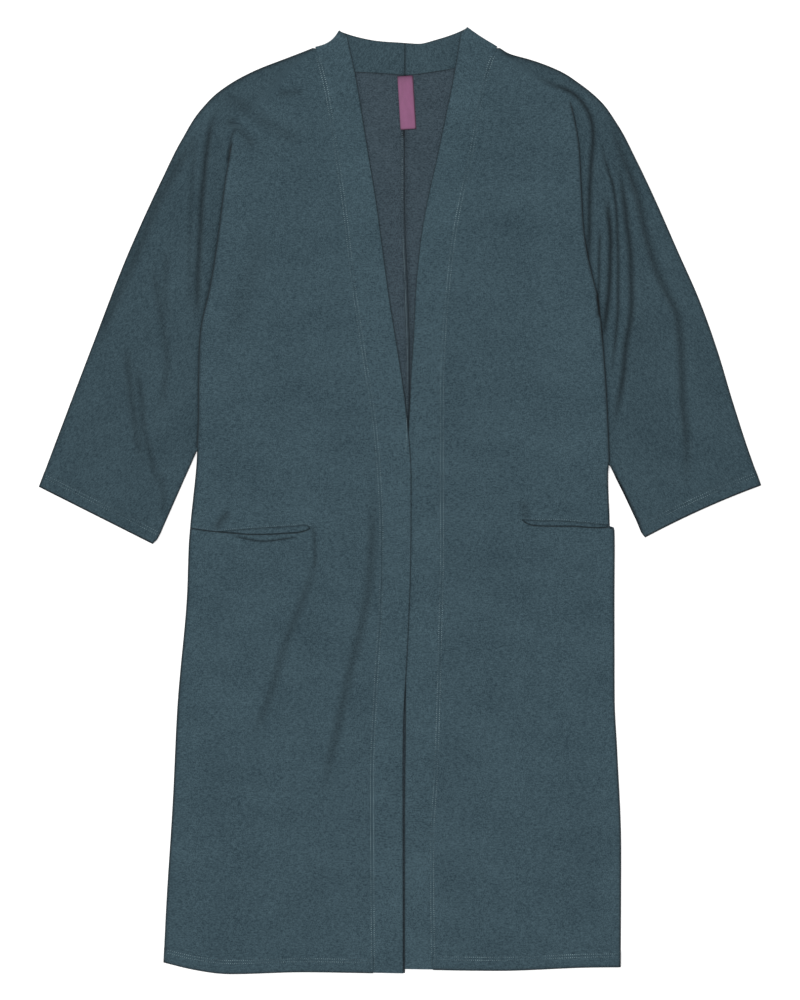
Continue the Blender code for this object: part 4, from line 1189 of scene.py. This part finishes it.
all_cloth = [*fronts.values(), *backs.values(), *bands.values(), *bags.values(), label]
uppermost = cloth_tree(all_cloth)
stitch_points, stitch_faces = [], []


def stitch_row(points, pitch=STITCH_PITCH, size=1.0, sink=0.08):
    """Lays stitches along a line of (x, y) points."""
    line = np.array(points, float)
    whole = lengths_along(line)[-1]
    count = int(whole / pitch)
    at = (np.arange(count) + 0.5) * whole / count
    centres, ahead = at_length(line, at), at_length(line, np.minimum(at + 0.5, whole))
    for centre, after in zip(centres, ahead):
        hit, normal, _, _ = uppermost.ray_cast(Vector((*centre * MM, 0.1)), Vector((0, 0, -1)))
        if hit is None:
            continue
        up = np.array(normal) if normal.z > 0 else -np.array(normal)
        along = np.array([*(after - centre), 0.0])
        along -= up * along.dot(up)
        if not along.any() or up[2] < 0.5:
            continue
        along /= np.linalg.norm(along)
        over = np.cross(along, up)
        place = np.array(hit) / MM - up * sink
        base = len(stitch_points)
        turned = size * (bead_points[:, :1] * over + bead_points[:, 1:2] * along + bead_points[:, 2:] * up)
        stitch_points.extend(map(tuple, place + turned))
        stitch_faces.extend(tuple(base + i for i in face) for face in bead_faces)


def twin_rows(line_at, offsets):
    for offset in offsets:
        stitch_row(line_at(offset))


# %% Where the rows run
def along_seam(side, low, high):
    y = np.linspace(high, low, 260)
    return lambda offset: np.column_stack([follow(side["seam"], y) + side["out"] * offset,
                                           hem_drawn(side, follow(side["seam"], y), y)])


def along_hem(side):
    part = np.linspace(0.008, 0.985, 160)

    def line(offset):
        y = HEM_Y + offset
        x = follow(side["seam"], y) + (follow(side["side"], y) - follow(side["seam"], y)) * part
        return np.column_stack([x, hem_drawn(side, x, y)])

    return line


def along_cuff(side):
    def line(offset):
        inner = at_length(side["underarm"][::-1], offset)
        outer = at_length([side["cuff"][0], (follow(side["overarm"], 61.4), 61.4)], offset)
        part = np.linspace(0.02, 0.98, 60)
        flat = inner + (outer - inner) * part[:, None]
        flat[:, 1] += side["cuff_hollow"] * 4 * part * (1 - part)
        return flat

    return line


for side in (RIGHT, LEFT):
    twin_rows(along_seam(side, HEM_Y + 4, side["neck"][1] - 10), (-TWIN / 2, TWIN / 2))
    twin_rows(along_hem(side), (HEM_DEPTH - 2.0, HEM_DEPTH - 2.0 + TWIN))
    twin_rows(along_cuff(side), (HEM_DEPTH - 2.0, HEM_DEPTH - 2.0 + TWIN))
    lip = curve_through(sorted(side["upper_lip"]), 60)
    stitch_row(lip + np.array((0, 1.7)), size=0.72)
CENTRE_ROW_ASIDE = -2.8
centre_y = np.linspace(450, 60, 200)
stitch_row(np.column_stack([follow(CENTRE_BACK, centre_y) + CENTRE_ROW_ASIDE, centre_y]))
print("stitches:", len(stitch_faces) // len(bead_faces))

# %% [markdown]
# Thread is smoother than the knit round it and paler, so the rows read as fine pale dots. A coarse noise
# darkens some lengths of them, where the nap has closed over the thread.

# %% Thread and the finished stitching
THREAD_SHADE, THREAD_WORN, THREAD_LEVEL = 1.4, 2.4, -1.58


def thread_material(name, dark, light):
    material, tree, shader = blank_material(name)
    place = node(tree, "ShaderNodeTexCoord", None, None, output=3)
    shade = node(tree, "ShaderNodeTexNoise", None, {"Vector": place, "Scale": 260.0, "Detail": 1.0})
    wear_and_highlight = node(tree, "ShaderNodeTexNoise", None, {"Vector": place, "Scale": 16.0, "Detail": 2.0})
    twist = node(tree, "ShaderNodeTexNoise", None, {"Vector": place, "Scale": 2400.0, "Detail": 1.0})
    spread = shade * THREAD_SHADE + wear_and_highlight * THREAD_WORN + THREAD_LEVEL
    tree.links.new(mixed(tree, spread, dark, light).socket, shader.inputs["Base Color"])
    bump = node(tree, "ShaderNodeBump", None, {"Strength": 0.4, "Distance": 0.05 * MM, "Height": twist})
    tree.links.new(bump.socket, shader.inputs["Normal"])
    tree.links.new((0.5 + shade * 0.2).socket, shader.inputs["Roughness"])
    return material


mesh = bpy.data.meshes.new("stitching")
mesh.from_pydata([tuple(np.array(p) * MM) for p in stitch_points], [], stitch_faces)
mesh.shade_smooth()
mesh.materials.append(thread_material("thread", (0.042, 0.072, 0.085, 1), (0.33, 0.46, 0.49, 1)))
stitching = bpy.data.objects.new("stitching", mesh)
bpy.context.scene.collection.objects.link(stitching)
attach(stitching, "root")

# %% [markdown]
# ## Table, light and camera
#
# The picture was taken from straight above on a pure white ground, in even light. A bright white world
# gives the even light, and one lamp high above, a little to the left, lets the creases show. With a light
# that soft the table would turn grey, so it glows a little. The camera stands far off with a long lens, so
# the edges don't spread.

# %% Table
TABLE_GLOW = 0.32


def table_material():
    material, tree, shader = blank_material("pale table")
    place = node(tree, "ShaderNodeTexCoord", None, None, output=3)
    mottle = node(tree, "ShaderNodeTexNoise", None, {"Vector": place, "Scale": 3.0, "Detail": 2.0})
    tree.links.new(mixed(tree, mottle, (0.93, 0.93, 0.93, 1), (0.96, 0.96, 0.96, 1)).socket,
                   shader.inputs["Base Color"])
    shader.inputs["Roughness"].default_value = 0.8
    shader.inputs["Emission Color"].default_value = (1, 1, 1, 1)
    shader.inputs["Emission Strength"].default_value = TABLE_GLOW
    return material


bpy.ops.object.select_all(action="DESELECT")
bpy.ops.mesh.primitive_plane_add(size=14, location=(0, 0, -0.0002))
table = bpy.context.object
table.name = "table"
bpy.ops.object.transform_apply(location=True)
table.data.materials.append(table_material())

# %% Light
WORLD_LIGHT = 0.72
KEY_PLACE, KEY_SIZE, KEY_POWER = (-1.5, 0.5, 7.2), 2.2, 228


def soft_light(name, place, aim, size, power):
    light = bpy.data.lights.new(name, "AREA")
    light.shape = "DISK"
    light.size = size
    light.energy = power
    lamp = bpy.data.objects.new(name, light)
    lamp.location = place
    lamp.rotation_euler = (Vector(aim) - Vector(place)).to_track_quat("-Z", "Y").to_euler()
    lamp.visible_camera = False
    bpy.context.scene.collection.objects.link(lamp)


world = bpy.data.worlds.new("studio")
world.use_nodes = True
world.node_tree.nodes["Background"].inputs["Color"].default_value = (1, 1, 1, 1)
world.node_tree.nodes["Background"].inputs["Strength"].default_value = WORLD_LIGHT
bpy.context.scene.world = world
soft_light("key", KEY_PLACE, (0, 0, 0), KEY_SIZE, KEY_POWER)
bpy.context.scene.view_settings.view_transform = "Standard"

# %% Camera
PICTURE_WIDTH_MM, PICTURE = 1.22 * 800, (800, 1000)
DISTANCE, SENSOR = 5.0, 36.0
camera_data = bpy.data.cameras.new("camera")
camera_data.sensor_width = SENSOR
camera_data.lens = SENSOR * DISTANCE / (PICTURE_WIDTH_MM * MM * PICTURE[1] / PICTURE[0])
camera_data.clip_end = 50
camera = bpy.data.objects.new("camera", camera_data)
camera.location = (0, 0.0004, DISTANCE)
bpy.context.scene.collection.objects.link(camera)
bpy.context.scene.camera = camera
